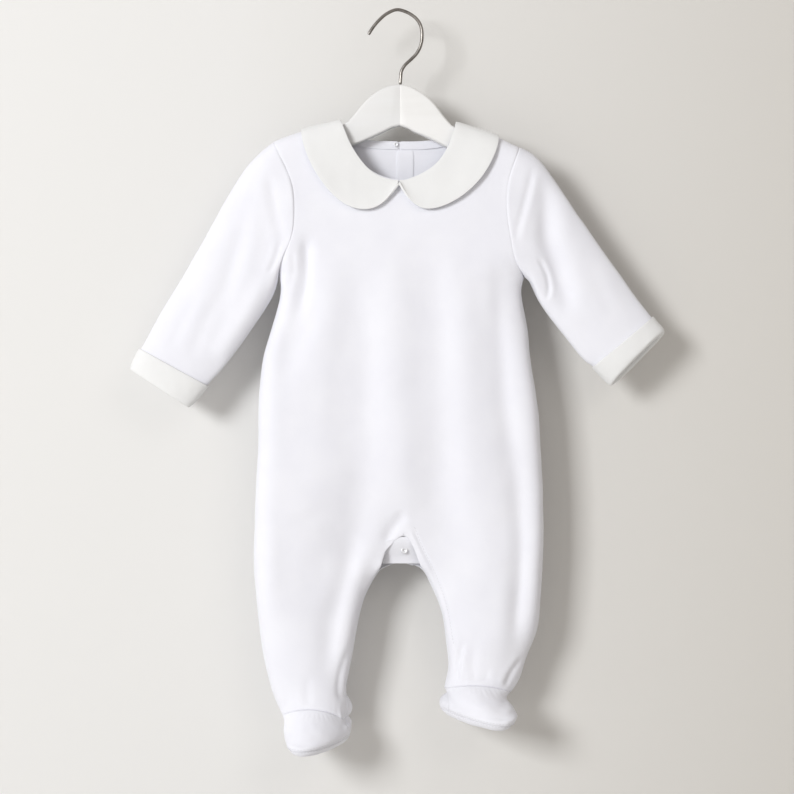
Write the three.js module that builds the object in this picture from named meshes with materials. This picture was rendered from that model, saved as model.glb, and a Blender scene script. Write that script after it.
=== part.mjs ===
// Footed baby sleepsuit with a flat round collar and turned-back cuffs, hung on a wooden hanger.
// Millimetres, +Z up, the front of the garment faces -Y.
// The origin is the underside of the hook's crown, where the hanger hangs.
import * as THREE from 'three';

// Driving dimensions.
const WALL = 1.6; // jersey cloth
const THINNEST_WALL = 1; // in sharp corners
const SEAM_GAP = 0.3; // between two sewn pieces
const EDGE_BACK = SEAM_GAP / 2 + 0.02; // each piece is drawn back by this from the seam
const SHARPEST_CORNER = -0.5; // cosine between the two edges' inward directions
const COLLAR_WALL = 2.2; // collar, cloth laid double
const COLLAR_CLEAR = 0.8; // collar above the chest at its neck edge
const COLLAR_STAND = 3.6; // further rise of the collar's outer edge
const BINDING_WALL = 1.2; // neck binding and plackets
const BINDING_DEPTH = 6; // neck binding, down from the back neck edge
const CENTRE_TOP = 2.35; // centre front line at the neck
const FRONT_CROTCH = -494.6;
const BACK_CROTCH = -524;
const SHOULDER_ROUND = 11; // how far from the shoulder line the cloth turns to the front
const SIDE_ROUND = 34; // the same beside the side seams
const INSEAM_ROUND = 26; // the same beside the inside leg seams
const CROTCH_NARROW = { x: 6, z: -520, reach: 120, share: 0.42 }; // front and back come near each other here
const HANGER_THICKNESS = 12;
const WIRE_RADIUS = 1.75;

// Grid of the panels: columns in a half, rows over the armhole.
const HALF_COLUMNS = 11;
const SHOULDER_COLUMNS = 5;
const ARMHOLE_ROWS = 12;
const NECK_CROWDING = 1.6; // neck edge points lie closer together near the shoulder
const CENTRE = HALF_COLUMNS;
const COLUMNS = 2 * HALF_COLUMNS;

// Side edges of body and legs, the centre line, and how deep front and back stand from the middle plane.
const BODY = [
  { z: -100, left: -112, right: 117, centre: 2.4, front: 11.5, back: 11.5 },
  { z: -160, left: -112, right: 117, centre: 2.4, front: 14, back: 12 },
  { z: -205, left: -112, right: 117, centre: 2.4, front: 16, back: 13 },
  { z: -250, left: -111.5, right: 120, centre: 2.5, front: 18, back: 14 },
  { z: -263, left: -108.4, right: 117, centre: 2.8, front: 18.3, back: 14 },
  { z: -277, left: -111.4, right: 119.6, centre: 3, front: 18.6, back: 14 },
  { z: -303, left: -119.3, right: 125.3, centre: 3.5, front: 19, back: 14 },
  { z: -335, left: -128, right: 126.8, centre: 4, front: 19.5, back: 14.5 },
  { z: -370, left: -129.8, right: 133.5, centre: 5, front: 20, back: 15 },
  { z: -410, left: -130.2, right: 136.5, centre: 6, front: 21, back: 16 },
  { z: -480, left: -133.6, right: 139.2, centre: 8, front: 22, back: 17.5 },
  { z: -524, left: -135.4, right: 138.8, centre: 4, front: 22, back: 18 },
  { z: -555, left: -133.5, right: 137, centre: 4, front: 21.5, back: 18 },
  { z: -590, left: -129.5, right: 133.4, centre: 4, front: 20.5, back: 17.5 },
  { z: -612, left: -126.6, right: 123.2, centre: 4, front: 19.5, back: 17 },
  { z: -634, left: -121.2, right: 117.4, centre: 4, front: 18.5, back: 17 },
  { z: -650, left: -116.8, right: 107, centre: 4, front: 18, back: 17 },
  { z: -668, left: -108.5, right: 105, centre: 4, front: 17.5, back: 17 },
];

// Inside leg edges, from the front crotch down.
const INSEAM = [
  { z: FRONT_CROTCH, left: 8, right: 8 },
  { z: -500, left: 0.5, right: 12.5 },
  { z: -510, left: -10.5, right: 17.5 },
  { z: BACK_CROTCH, left: -14.4, right: 22.5 },
  { z: -536, left: -19.6, right: 28.3 },
  { z: -550, left: -28.2, right: 35.2 },
  { z: -570, left: -34.6, right: 43.4 },
  { z: -597, left: -39.5, right: 46.6 },
  { z: -622, left: -44, right: 49.6 },
  { z: -640, left: -48, right: 45.5 },
  { z: -668, left: -50, right: 45 },
];

// Rows of the body between underarm and crotch, then legs as shares from back crotch to ankle.
const BODY_LEVELS = [-265, -284, -304, -327, -352, -378, -404, -430, -454, -475];
const FRONT_LEVELS = [FRONT_CROTCH, -503, -513];
const LEG_SHARES = [0, 0.035, 0.1, 0.19, 0.3, 0.42, 0.54, 0.66, 0.77, 0.86, 0.94, 1];

// Shoulder line, neck point to sleeve: across and up.
const SHOULDER = {
  left: [
    { x: -116.4, z: -123.6 },
    { x: -104, z: -118.6 },
    { x: -91.7, z: -114.4 },
    { x: -72, z: -109.6 },
    { x: -53, z: -104.8 },
  ],
  right: [
    { x: 116.4, z: -128.8 },
    { x: 108, z: -125.6 },
    { x: 98.3, z: -120 },
    { x: 78, z: -113.2 },
    { x: 56.5, z: -106.8 },
  ],
};

// Neck edge from the neck point to the centre, front and back.
const FRONT_NECK = [
  { share: 0, left: -53, right: 56.5, drop: 0 },
  { share: 0.2, left: -48.4, right: 53, drop: 15 },
  { share: 0.4, left: -41, right: 45.4, drop: 31 },
  { share: 0.6, left: -29, right: 34, drop: 45 },
  { share: 0.8, left: -14, right: 19, drop: 55 },
  { share: 1, left: CENTRE_TOP, right: CENTRE_TOP, drop: 58.5 },
];
const BACK_NECK = [
  { share: 0, left: -53, right: 56.5, drop: 0 },
  { share: 0.2, left: -47.5, right: 51, drop: 9.5 },
  { share: 0.4, left: -38, right: 42, drop: 14.5 },
  { share: 0.7, left: -18, right: 23, drop: 17.4 },
  { share: 1, left: CENTRE_TOP, right: CENTRE_TOP, drop: 18 },
];

// Armhole seam: how far it bows in from the straight line between shoulder tip and underarm.
const UNDERARM = { left: { x: -111.7, z: -250.4 }, right: { x: 121.5, z: -252.8 } };
const ARMHOLE = [
  { share: 0, left: 0, right: 0 },
  { share: 0.12, left: 6, right: 5.5 },
  { share: 0.25, left: 14, right: 11.5 },
  { share: 0.4, left: 17.5, right: 14.5 },
  { share: 0.55, left: 17.3, right: 14.5 },
  { share: 0.7, left: 15.5, right: 12 },
  { share: 0.82, left: 9, right: 10.5 },
  { share: 0.92, left: 2.5, right: 6.5 },
  { share: 1, left: 0, right: 0 },
];

// Sleeves: upper and lower edge at stations down the arm, and half the depth there.
const SLEEVE = {
  left: [
    { share: 0, topX: -116.4, topZ: -123.6, underX: -111.7, underZ: -250.4, depth: 13 },
    { share: 0.1, topX: -130, topZ: -133.6, underX: -114.4, underZ: -265, depth: 15.5 },
    { share: 0.23, topX: -148.7, topZ: -155.4, underX: -122.5, underZ: -280, depth: 15 },
    { share: 0.38, topX: -167, topZ: -187, underX: -132, underZ: -294, depth: 14 },
    { share: 0.54, topX: -186, topZ: -222, underX: -143, underZ: -310.5, depth: 13 },
    { share: 0.7, topX: -205.6, topZ: -255.5, underX: -154.5, underZ: -325.5, depth: 12 },
    { share: 0.86, topX: -226, topZ: -289, underX: -168, underZ: -343.5, depth: 11 },
    { share: 1, topX: -242.6, topZ: -320.6, underX: -180, underZ: -355, depth: 10.4 },
  ],
  right: [
    { share: 0, topX: 116.4, topZ: -128.8, underX: 121.5, underZ: -252.8, depth: 13 },
    { share: 0.1, topX: 130, topZ: -134.5, underX: 128.6, underZ: -258.6, depth: 15.5 },
    { share: 0.23, topX: 146.5, topZ: -153.5, underX: 134.5, underZ: -276.5, depth: 15 },
    { share: 0.38, topX: 163.5, topZ: -180, underX: 147.5, underZ: -294, depth: 14 },
    { share: 0.54, topX: 182, topZ: -206.5, underX: 159, underZ: -308.5, depth: 13 },
    { share: 0.7, topX: 201.5, topZ: -234.5, underX: 169.8, underZ: -322.5, depth: 12 },
    { share: 0.86, topX: 223, topZ: -264.5, underX: 179.5, underZ: -333.5, depth: 11.4 },
    { share: 1, topX: 242.2, topZ: -290.6, underX: 187, underZ: -337, depth: 11 },
  ],
};
const SLEEVE_RINGS = 10;

// Cuffs, turned back over the sleeve's end: the wrist edge, and how far the back wall runs past the front.
const CUFF = {
  left: { topX: -252.6, topZ: -340.4, underX: -197.6, underZ: -376.2, depth: 10.6, lean: 0.04 },
  right: { topX: 254.4, topZ: -305, underX: 204.4, underZ: -355, depth: 11.4, lean: 0.26 },
};
const CUFF_RINGS = 20;
// Section of a cuff: down is the share from its seam to the wrist, out is from the sleeve's surface.
const CUFF_SECTION = [
  { down: 0, out: 0.9 },
  { down: 0.01, out: 2.2 },
  { down: 0.5, out: 2.4 },
  { down: 0.92, out: 2.2 },
  { down: 1, out: 0.6 },
  { down: 1, out: -1.6 },
  { down: 0.93, out: -3.2 },
  { down: 0.45, out: -3.4 },
  { down: 0.45, out: -2 },
  { down: 0.93, out: -2 },
  { down: 0.93, out: 0.8 },
];
const SLEEVE_END = 0.9; // where the sleeve stops inside its cuff

// Collar: neck edge and outer edge from centre front over the shoulder to centre back.
const COLLAR_FRONT = {
  left: [
    { inX: 1.7, inZ: -161.6, outX: 0.4, outZ: -165.6 },
    { inX: -2.4, inZ: -161.9, outX: -5, outZ: -174.4 },
    { inX: -8.1, inZ: -160.6, outX: -13.5, outZ: -184.2 },
    { inX: -15.7, inZ: -158.3, outX: -26, outZ: -190 },
    { inX: -25.2, inZ: -152.4, outX: -44.6, outZ: -187.6 },
    { inX: -32.8, inZ: -144, outX: -60.8, outZ: -175.6 },
    { inX: -39.5, inZ: -134.5, outX: -74.8, outZ: -157.5 },
    { inX: -45.2, inZ: -124, outX: -84.4, outZ: -138.5 },
    { inX: -49.5, inZ: -112.5, outX: -89, outZ: -124 },
    { inX: -52.6, inZ: -104.8, outX: -89.8, outZ: -113.8 },
  ],
  right: [
    { inX: 3, inZ: -161.6, outX: 4.3, outZ: -165.6 },
    { inX: 7.1, inZ: -161.9, outX: 9.4, outZ: -175 },
    { inX: 12.8, inZ: -160.2, outX: 16.6, outZ: -184.4 },
    { inX: 20.4, inZ: -157.3, outX: 28.8, outZ: -190 },
    { inX: 29.9, inZ: -152.2, outX: 47.4, outZ: -185.6 },
    { inX: 38.5, inZ: -145.4, outX: 65, outZ: -175 },
    { inX: 45.1, inZ: -136.6, outX: 80.6, outZ: -159.8 },
    { inX: 50.3, inZ: -126.5, outX: 91, outZ: -141.6 },
    { inX: 53.9, inZ: -115, outX: 95.6, outZ: -129 },
    { inX: 56, inZ: -106.8, outX: 96.2, outZ: -119.6 },
  ],
};
const COLLAR_BACK = [
  { inX: 50, inZ: -112.5, outX: 92, outZ: -125 },
  { inX: 42.5, inZ: -118.3, outX: 84, outZ: -142 },
  { inX: 30, inZ: -121.6, outX: 62, outZ: -160 },
  { inX: 17, inZ: -122.8, outX: 33, outZ: -168 },
  { inX: 3.5, inZ: -123.2, outX: 8, outZ: -160 },
];
const COLLAR_ACROSS = 4;
const CREST_FADE = 3; // rows from the shoulder over which the collar begins to stand off
const BEHIND_PLACKET = 1.6; // the collar's back ends pass over the placket

// Feet: where the toes point (degrees out from straight ahead, degrees down) and the seam heights.
const FOOT = {
  left: { toeOut: 24, droop: 9, shift: 8, ankleOuter: -668, ankleInner: -671, ankleRise: 9 },
  right: { toeOut: 36, droop: 10, shift: -4, ankleOuter: -646, ankleInner: -642, ankleRise: 6 },
};
const FOOT_RINGS = [
  { down: 5, toe: 27, heel: 24, side: 28.6, turn: 0.25 },
  { down: 10, toe: 41, heel: 30, side: 28.4, turn: 0.6 },
  { down: 15.5, toe: 51, heel: 34.5, side: 28.2, turn: 1 },
  { down: 21, toe: 56.5, heel: 36, side: 28.2, turn: 1 },
  { down: 25, toe: 57, heel: 35, side: 27.6, turn: 1 },
];
const SOLE_RINGS = [
  { down: 28.6, toe: 52.5, heel: 31, side: 24.6, turn: 1 },
  { down: 30, toe: 37, heel: 20, side: 14.6, turn: 1 },
];
const SOLE_CENTRE = { down: 30.4, toe: 8 };

// Largest folds of the hanging cloth: a soft trough along a short line, each with its width and depth.
const FRONT_FOLDS = [
  { path: [[-45, -225], [-48, -310], [-46, -420], [-52, -500], [-64, -560]], width: 13, depth: 3.4 },
  { path: [[20, -205], [22, -290], [28, -400], [30, -470], [44, -540]], width: 12, depth: 3.6 },
  { path: [[66, -215], [84, -290], [96, -370], [105, -450], [108, -600]], width: 13, depth: 3.8 },
  { path: [[-99, -235], [-92, -280], [-104, -320], [-118, -370]], width: 9, depth: 4.2 },
  { path: [[103, -245], [104, -275], [113, -310]], width: 8, depth: 3 },
  { path: [[-62, -540], [-66, -600], [-60, -650]], width: 10, depth: 3.2 },
  { path: [[4, -478], [-10, -505], [-14, -520]], width: 7, depth: 3 },
  { path: [[60, -555], [66, -600], [72, -632]], width: 8, depth: 2.4 },
];
const BACK_FOLDS = [
  { path: [[-52, -215], [-58, -320], [-60, -430], [-70, -560]], width: 13, depth: 3.2 },
  { path: [[58, -225], [64, -320], [70, -420], [86, -570]], width: 13, depth: 3.4 },
  { path: [[-98, -240], [-96, -290], [-108, -350]], width: 9, depth: 3 },
  { path: [[104, -250], [106, -290], [116, -340]], width: 9, depth: 3 },
  { path: [[-20, -400], [-26, -470], [-40, -540]], width: 10, depth: 2.6 },
  { path: [[30, -380], [34, -460], [48, -530]], width: 10, depth: 2.6 },
];
const SLEEVE_FOLDS = [
  { path: [[-122, -160], [-120, -205], [-116, -235]], width: 8, depth: 3 },
  { path: [[-150, -210], [-158, -250], [-172, -300]], width: 9, depth: 2.4 },
  { path: [[138, -162], [148, -220], [166, -292]], width: 10, depth: 3.4 },
  { path: [[125, -166], [114, -205]], width: 6, depth: 2.4 },
  { path: [[131, -236], [146, -276]], width: 5, depth: 2.4 },
];

// Back opening, from the neck down, and what closes it.
const OPENING_LENGTH = 206;
const PLACKET = { left: -6, right: 10.4 };
const FACING = { left: 1.2, right: 15.6 };
const CROTCH_PLACKET_CLEAR = 0.3;
const POPPER_RADIUS = 4.6;
const POPPER_THICKNESS = 1.2;
const POPPER_CLEAR = 0.5; // a flat popper over slightly curved cloth
const BACK_POPPERS = [{ x: 2.2, z: -192 }, { x: 2.2, z: -250 }, { x: 2.2, z: -308 }];
const NECK_POPPER = { x: -0.5, z: -125.4, radius: 2.3 };
const CROTCH_POPPER = { x: 7.6, z: -511.8, radius: 3.4 };

// Hanger: upper and lower edge of the wood, left to right.
const HANGER_TOP = [
  [-110, -128.8], [-104, -123.8], [-92, -118.8], [-72, -113.8], [-54, -109.2], [-45, -104.2], [-36.6, -94],
  [-28, -84.4], [-19, -77], [-8, -71.6], [3.3, -69.9], [13, -71.8], [22.3, -76.6], [30, -82.3],
  [36.6, -89], [42.3, -96.6], [49, -105], [57, -111.6], [78, -117.6], [98, -125.2], [110, -133.6],
];
const HANGER_UNDER = [
  [110, -146], [94, -144.5], [72, -138.6], [48, -129.8], [33.7, -122.2], [17.6, -115.5],
  [2.4, -109], [-15.7, -116.5], [-34.7, -125], [-60, -134.5], [-92, -140], [-110, -142.5],
];
const HANGER_BEVEL = 2.6;
// Centre line of the hook wire, tip to wood.
const HOOK_LINE = [
  [-26.6, -22], [-22.6, -15.6], [-16.4, -8.2], [-9.6, -2.4], [0, 1.75], [7, 0.4], [13.4, -2.6], [19.4, -7.4],
  [23.2, -14], [24.4, -22.8], [23.2, -31.8], [19.4, -39.8], [13.4, -46], [7.6, -51.6], [4.6, -57], [4, -63.5],
  [3.6, -69.5],
];
const HOOK_STEPS = 44;
const HOOK_SIDES = 8;

// Colours and surfaces.
const COLOURS = { jersey: 0xf3f4f8, trim: 0xecedea, wood: 0xf2f2f2, steel: 0x5f5a55, popper: 0x8a8f99 };
const finish = (color, roughness, metalness = 0) => (
  new THREE.MeshStandardMaterial({ color, roughness, metalness })
);

const lerp = THREE.MathUtils.lerp;
const radians = THREE.MathUtils.degToRad;

// A table's named columns at a station, each as a smooth curve through its rows.
function tableAt(rows, key, station) {
  const rising = rows[rows.length - 1][key] > rows[0][key];
  const order = rising ? 1 : -1;
  let k = 0;
  while (k < rows.length - 2 && order * (station - rows[k + 1][key]) > 0) k += 1;
  const slope = (i, column) => {
    const a = rows[Math.max(i - 1, 0)];
    const b = rows[Math.min(i + 1, rows.length - 1)];
    return (b[column] - a[column]) / (b[key] - a[key]);
  };
  const span = rows[k + 1][key] - rows[k][key];
  const t = THREE.MathUtils.clamp((station - rows[k][key]) / span, 0, 1);
  const result = {};
  for (const column of Object.keys(rows[0])) {
    const from = rows[k][column];
    const to = rows[k + 1][column];
    const rise = slope(k, column) * span;
    const fall = slope(k + 1, column) * span;
    const a = 2 * t ** 3 - 3 * t ** 2 + 1;
    const b = t ** 3 - 2 * t ** 2 + t;
    const c = 3 * t ** 2 - 2 * t ** 3;
    const d = t ** 3 - t ** 2;
    result[column] = a * from + b * rise + c * to + d * fall;
  }
  return result;
}

// Distance in the front view from a point to a line of points.
function distanceTo(line, x, z) {
  let least = Infinity;
  for (let k = 0; k < line.length - 1; k += 1) {
    const [ax, az] = line[k];
    const [bx, bz] = line[k + 1];
    const length2 = (bx - ax) ** 2 + (bz - az) ** 2;
    const t = THREE.MathUtils.clamp(((x - ax) * (bx - ax) + (z - az) * (bz - az)) / length2, 0, 1);
    least = Math.min(least, Math.hypot(x - lerp(ax, bx, t), z - lerp(az, bz, t)));
  }
  return least;
}

// Round edge of folded cloth: 0 on the edge, 1 once the cloth lies flat.
const turnOver = (distance, round) => Math.sqrt(1 - (1 - Math.min(distance / round, 1)) ** 2);

const smooth = (t) => THREE.MathUtils.smoothstep(t, 0, 1);

// Lines in the front view where the front and the back of the garment meet.
const levels = Array.from({ length: 69 }, (_, k) => -258 - k * 6);
const sideLine = (side) => levels.map((z) => [tableAt(BODY, 'z', z)[side], z]);
const seamLine = (side) => levels.filter((z) => z < -535).map((z) => [tableAt(INSEAM, 'z', z)[side], z]);
const SIDE_LINES = ['left', 'right'].map((side) => [[UNDERARM[side].x, UNDERARM[side].z], ...sideLine(side)]);
const SHOULDER_LINES = ['left', 'right'].map((side) => SHOULDER[side].map(({ x, z }) => [x, z]));
const INSEAM_LINES = ['left', 'right'].map(seamLine);

function foldDepth(folds, x, z) {
  let total = 0;
  for (const { path, width, depth } of folds) {
    const first = path[0];
    const last = path[path.length - 1];
    const along = THREE.MathUtils.clamp((z - first[1]) / (last[1] - first[1]), 0, 1);
    const fade = smooth(Math.min(along, 1 - along) * 5);
    total += depth * fade * Math.exp(-((distanceTo(path, x, z) / width) ** 2));
  }
  return total;
}

// How far the cloth stands from the middle plane; the face is 'front' or 'back'.
function standOff(face, x, z, folded = true) {
  const shoulders = Math.min(...SHOULDER_LINES.map((line) => distanceTo(line, x, z)));
  const sides = Math.min(...SIDE_LINES.map((line) => distanceTo(line, x, z)));
  const inseams = Math.min(...INSEAM_LINES.map((line) => distanceTo(line, x, z)));
  const closedAbove = turnOver(shoulders, SHOULDER_ROUND) * turnOver(sides, SIDE_ROUND);
  const closed = closedAbove * turnOver(inseams, INSEAM_ROUND);
  const folds = folded ? foldDepth(face === 'front' ? FRONT_FOLDS : BACK_FOLDS, x, z) : 0;
  const fromCrotch = Math.hypot(x - CROTCH_NARROW.x, z - CROTCH_NARROW.z) / CROTCH_NARROW.reach;
  const narrow = lerp(CROTCH_NARROW.share, 1, smooth(fromCrotch));
  return (tableAt(BODY, 'z', z)[face] * narrow - folds) * closed;
}

const facing = (face) => (face === 'front' ? -1 : 1);

// A point of the body's surface, moved out from it.
function bodyPoint(face, x, z, out = 0) {
  const step = 0.5;
  const depth = standOff(face, x, z, false);
  const alongX = (standOff(face, x + step, z, false) - standOff(face, x - step, z, false)) / (2 * step);
  const alongZ = (standOff(face, x, z + step, false) - standOff(face, x, z - step, false)) / (2 * step);
  const normal = new THREE.Vector3(-alongX, facing(face), -alongZ).normalize();
  return new THREE.Vector3(x, facing(face) * depth, z).addScaledVector(normal, out);
}

// Shares along the armhole, close together at shoulder tip and underarm.
const armShare = (row) => (1 - Math.cos(Math.PI * (row / ARMHOLE_ROWS) ** 1.2)) / 2;

function armholePoint(side, row) {
  const share = armShare(row);
  const tip = SHOULDER[side][0];
  const inset = tableAt(ARMHOLE, 'share', share)[side] * (side === 'left' ? 1 : -1);
  return { x: lerp(tip.x, UNDERARM[side].x, share) + inset, z: lerp(tip.z, UNDERARM[side].z, share) };
}

// Share across a half panel, close together at the side seam, and in a leg at both seams.
function columnShare(column, legs) {
  const t = column / HALF_COLUMNS;
  const body = 1 - Math.cos((Math.PI * t) / 2);
  const leg = (1 - Math.cos(Math.PI * t)) / 2;
  return lerp(body, leg, legs);
}

const legsBlend = (z) => smooth((-400 - z) / 110);
const halfOf = (column) => (column <= CENTRE ? 'left' : 'right');
const fromSide = (column) => (column <= CENTRE ? column : COLUMNS - column);

function topPoint(face, column) {
  const side = halfOf(column);
  const step = fromSide(column);
  const shoulder = SHOULDER[side];
  if (step <= SHOULDER_COLUMNS) {
    const rows = shoulder.map((row, k) => ({ share: k / (shoulder.length - 1), ...row }));
    return tableAt(rows, 'share', step / SHOULDER_COLUMNS);
  }
  const share = ((step - SHOULDER_COLUMNS) / (HALF_COLUMNS - SHOULDER_COLUMNS)) ** NECK_CROWDING;
  const edge = tableAt(face === 'front' ? FRONT_NECK : BACK_NECK, 'share', share);
  const neck = { left: SHOULDER.left[4].z, right: SHOULDER.right[4].z };
  const centreShift = side === 'right' ? lerp(neck.right, neck.left, share) : neck.left;
  return { x: edge[side], z: centreShift - edge.drop };
}

function levelPoint(column, z, split) {
  const side = halfOf(column);
  const row = tableAt(BODY, 'z', z);
  const inner = split ? tableAt(INSEAM, 'z', z)[side] : row.centre;
  return { x: lerp(row[side], inner, columnShare(fromSide(column), legsBlend(z))), z };
}

function underarmPoint(column) {
  const side = halfOf(column);
  const share = columnShare(fromSide(column), 0);
  const middle = { x: CENTRE_TOP, z: -253 };
  return { x: lerp(UNDERARM[side].x, middle.x, share), z: lerp(UNDERARM[side].z, middle.z, share) };
}

// Points between shoulder, armholes and the underarm row, by blending the four edges.
function chestPoint(face, row, column) {
  const v = armShare(row);
  const u = column / COLUMNS;
  const top = topPoint(face, column);
  const low = underarmPoint(column);
  const left = armholePoint('left', row);
  const right = armholePoint('right', row);
  const sideShift = (key, share) => {
    const corners =
      (1 - share) * lerp(SHOULDER.left[0][key], UNDERARM.left[key], v) +
      share * lerp(SHOULDER.right[0][key], UNDERARM.right[key], v);
    return lerp(left[key], right[key], share) - corners;
  };
  const straight = sideShift('x', 0.5) * (1 - Math.abs(2 * u - 1));
  return {
    x: lerp(top.x, low.x, v) + sideShift('x', u) - straight,
    z: lerp(top.z, low.z, v) + sideShift('z', u),
  };
}

// Leg rows run from the back crotch to the curved ankle seam.
function legPoint(side, column, share) {
  const foot = FOOT[side];
  const step = fromSide(column);
  const across = columnShare(step, 1);
  const arch = foot.ankleRise * 4 * across * (1 - across);
  const ankle = lerp(foot.ankleOuter, foot.ankleInner, across) + arch;
  const level = lerp(BACK_CROTCH, ankle, share);
  const edge = lerp(BACK_CROTCH, lerp(foot.ankleOuter, foot.ankleInner, across), share);
  const point = levelPoint(column, edge, true);
  if (column === CENTRE && side === 'right') {
    const outer = tableAt(BODY, 'z', edge).right;
    point.x = lerp(outer, tableAt(INSEAM, 'z', edge).right, across);
  }
  return { x: point.x, z: level };
}

function onFace(face, { x, z }, closed) {
  const depth = closed ? 0 : standOff(face, x, z);
  return new THREE.Vector3(x, facing(face) * depth, z);
}

// The garment's outer surface. Pieces share its points, so that their edges meet along each seam.
const surface = { points: [], index: new Map(), faces: [] };

function pointId(point) {
  const key = [point.x, point.y, point.z].map((value) => Math.round(value * 50)).join(',');
  if (!surface.index.has(key)) {
    surface.index.set(key, surface.points.length);
    surface.points.push(point.clone());
  }
  return surface.index.get(key);
}

// Rows of points become faces of a piece; 'front' rows run left to right as seen from the front.
function addRows(piece, rows, flipped) {
  for (let i = 0; i < rows.length - 1; i += 1) {
    for (let j = 0; j < rows[i].length - 1; j += 1) {
      const corners = [rows[i][j], rows[i + 1][j], rows[i + 1][j + 1], rows[i][j + 1]].map(pointId);
      if (flipped) corners.reverse();
      surface.faces.push({ piece, corners: corners.filter((id, k) => id !== corners[(k + 1) % 4]) });
    }
  }
}

function panelRows(face) {
  const all = Array.from({ length: COLUMNS + 1 }, (_, column) => column);
  const rows = [];
  for (let row = 0; row < ARMHOLE_ROWS; row += 1) {
    const shoulder = (column) => row === 0 && fromSide(column) <= SHOULDER_COLUMNS;
    rows.push(all.map((column) => onFace(face, chestPoint(face, row, column), shoulder(column))));
  }
  const edge = (column) => column === 0 || column === COLUMNS;
  rows.push(all.map((column) => onFace(face, underarmPoint(column), edge(column))));
  for (const z of BODY_LEVELS) {
    rows.push(all.map((column) => onFace(face, levelPoint(column, z, false), edge(column))));
  }
  return rows;
}

// Rows of one leg, from the row where front or back divides.
function legRows(face, side, whole) {
  const columns = Array.from({ length: HALF_COLUMNS + 1 }, (_, k) => (side === 'left' ? k : CENTRE + k));
  const outer = side === 'left' ? 0 : COLUMNS;
  const rows = [];
  for (const z of FRONT_LEVELS) {
    const split = face === 'front' && z !== FRONT_CROTCH;
    const place = (column) => {
      if (!split || column !== CENTRE) return levelPoint(column, z, split);
      return { x: tableAt(INSEAM, 'z', z)[side], z };
    };
    rows.push(columns.map((column) => onFace(face, place(column), column === outer)));
  }
  LEG_SHARES.forEach((share, k) => {
    const undivided = face === 'back' && k === 0;
    const place = (column) => (
      undivided ? levelPoint(column, BACK_CROTCH, false) : legPoint(side, column, share)
    );
    const sewn = (column) => column === outer || (column === CENTRE && k > 1);
    rows.push(columns.map((column) => onFace(face, place(column), sewn(column))));
  });
  return whole.length ? [columns.map((column) => whole[whole.length - 1][column]), ...rows] : rows;
}

const frontBody = panelRows('front');
const backBody = panelRows('back');
const legs = {};
for (const side of ['left', 'right']) {
  legs[side] = { front: legRows('front', side, frontBody), back: legRows('back', side, backBody) };
  addRows('front', legs[side].front, false);
  addRows(`back_${side}`, legs[side].back, true);
}
addRows('front', frontBody, false);
addRows('back_left', backBody.map((row) => row.slice(0, CENTRE + 1)), true);
addRows('back_right', backBody.map((row) => row.slice(CENTRE)), true);

// One sleeve station: a ring from the shoulder down the front, round the underarm and up the back.
function sleeveRing(side, share) {
  const station = tableAt(SLEEVE[side], 'share', share);
  const ring = [];
  for (let k = 0; k < 2 * ARMHOLE_ROWS; k += 1) {
    const row = k <= ARMHOLE_ROWS ? k : 2 * ARMHOLE_ROWS - k;
    const face = k <= ARMHOLE_ROWS ? 'front' : 'back';
    const even = (1 - Math.cos((Math.PI * row) / ARMHOLE_ROWS)) / 2;
    const down = lerp(armShare(row), even, smooth(share * 2));
    const seam = armholePoint(side, row);
    const bow = seam.x - lerp(SHOULDER[side][0].x, UNDERARM[side].x, armShare(row));
    const x = lerp(station.topX, station.underX, down) + bow * (1 - share) ** 4;
    const z = lerp(station.topZ, station.underZ, down);
    const round = station.depth * Math.sqrt(Math.max(1 - (2 * down - 1) ** 2, 0));
    const edge = row === 0 || row === ARMHOLE_ROWS;
    const start = edge ? 0 : standOff(face, seam.x, seam.z);
    const folds = edge ? 0 : foldDepth(SLEEVE_FOLDS, x, z) * smooth(share * 8);
    const depth = lerp(start, round, smooth(share * 3)) - folds;
    ring.push(new THREE.Vector3(x, facing(face) * depth, z));
  }
  return ring;
}

// The sleeve's end lies in its cuff, part of the way from the cuff's seam to the wrist.
function cuffRing(side, down, out) {
  const seam = tableAt(SLEEVE[side], 'share', 1);
  const wrist = CUFF[side];
  const axis = new THREE.Vector3(
    (wrist.topX + wrist.underX - seam.topX - seam.underX) / 2, 0,
    (wrist.topZ + wrist.underZ - seam.topZ - seam.underZ) / 2,
  ).normalize();
  const ring = [];
  for (let k = 0; k < CUFF_RINGS; k += 1) {
    const turn = (2 * Math.PI * k) / CUFF_RINGS;
    const top = new THREE.Vector3(lerp(seam.topX, wrist.topX, down), 0, lerp(seam.topZ, wrist.topZ, down));
    const underX = lerp(seam.underX, wrist.underX, down);
    const under = new THREE.Vector3(underX, 0, lerp(seam.underZ, wrist.underZ, down));
    const half = top.clone().sub(under).multiplyScalar(0.5);
    const depth = lerp(seam.depth, wrist.depth, down);
    const outward = half.clone().normalize().multiplyScalar(Math.cos(turn) * depth);
    outward.y = -Math.sin(turn) * half.length();
    outward.normalize();
    const point = top.clone().add(under).multiplyScalar(0.5).addScaledVector(half, Math.cos(turn));
    point.y = -Math.sin(turn) * depth;
    point.addScaledVector(outward, out);
    point.addScaledVector(axis, point.y * wrist.lean * down);
    ring.push(point);
  }
  return ring;
}

const close = (ring) => [...ring, ring[0]];

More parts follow.
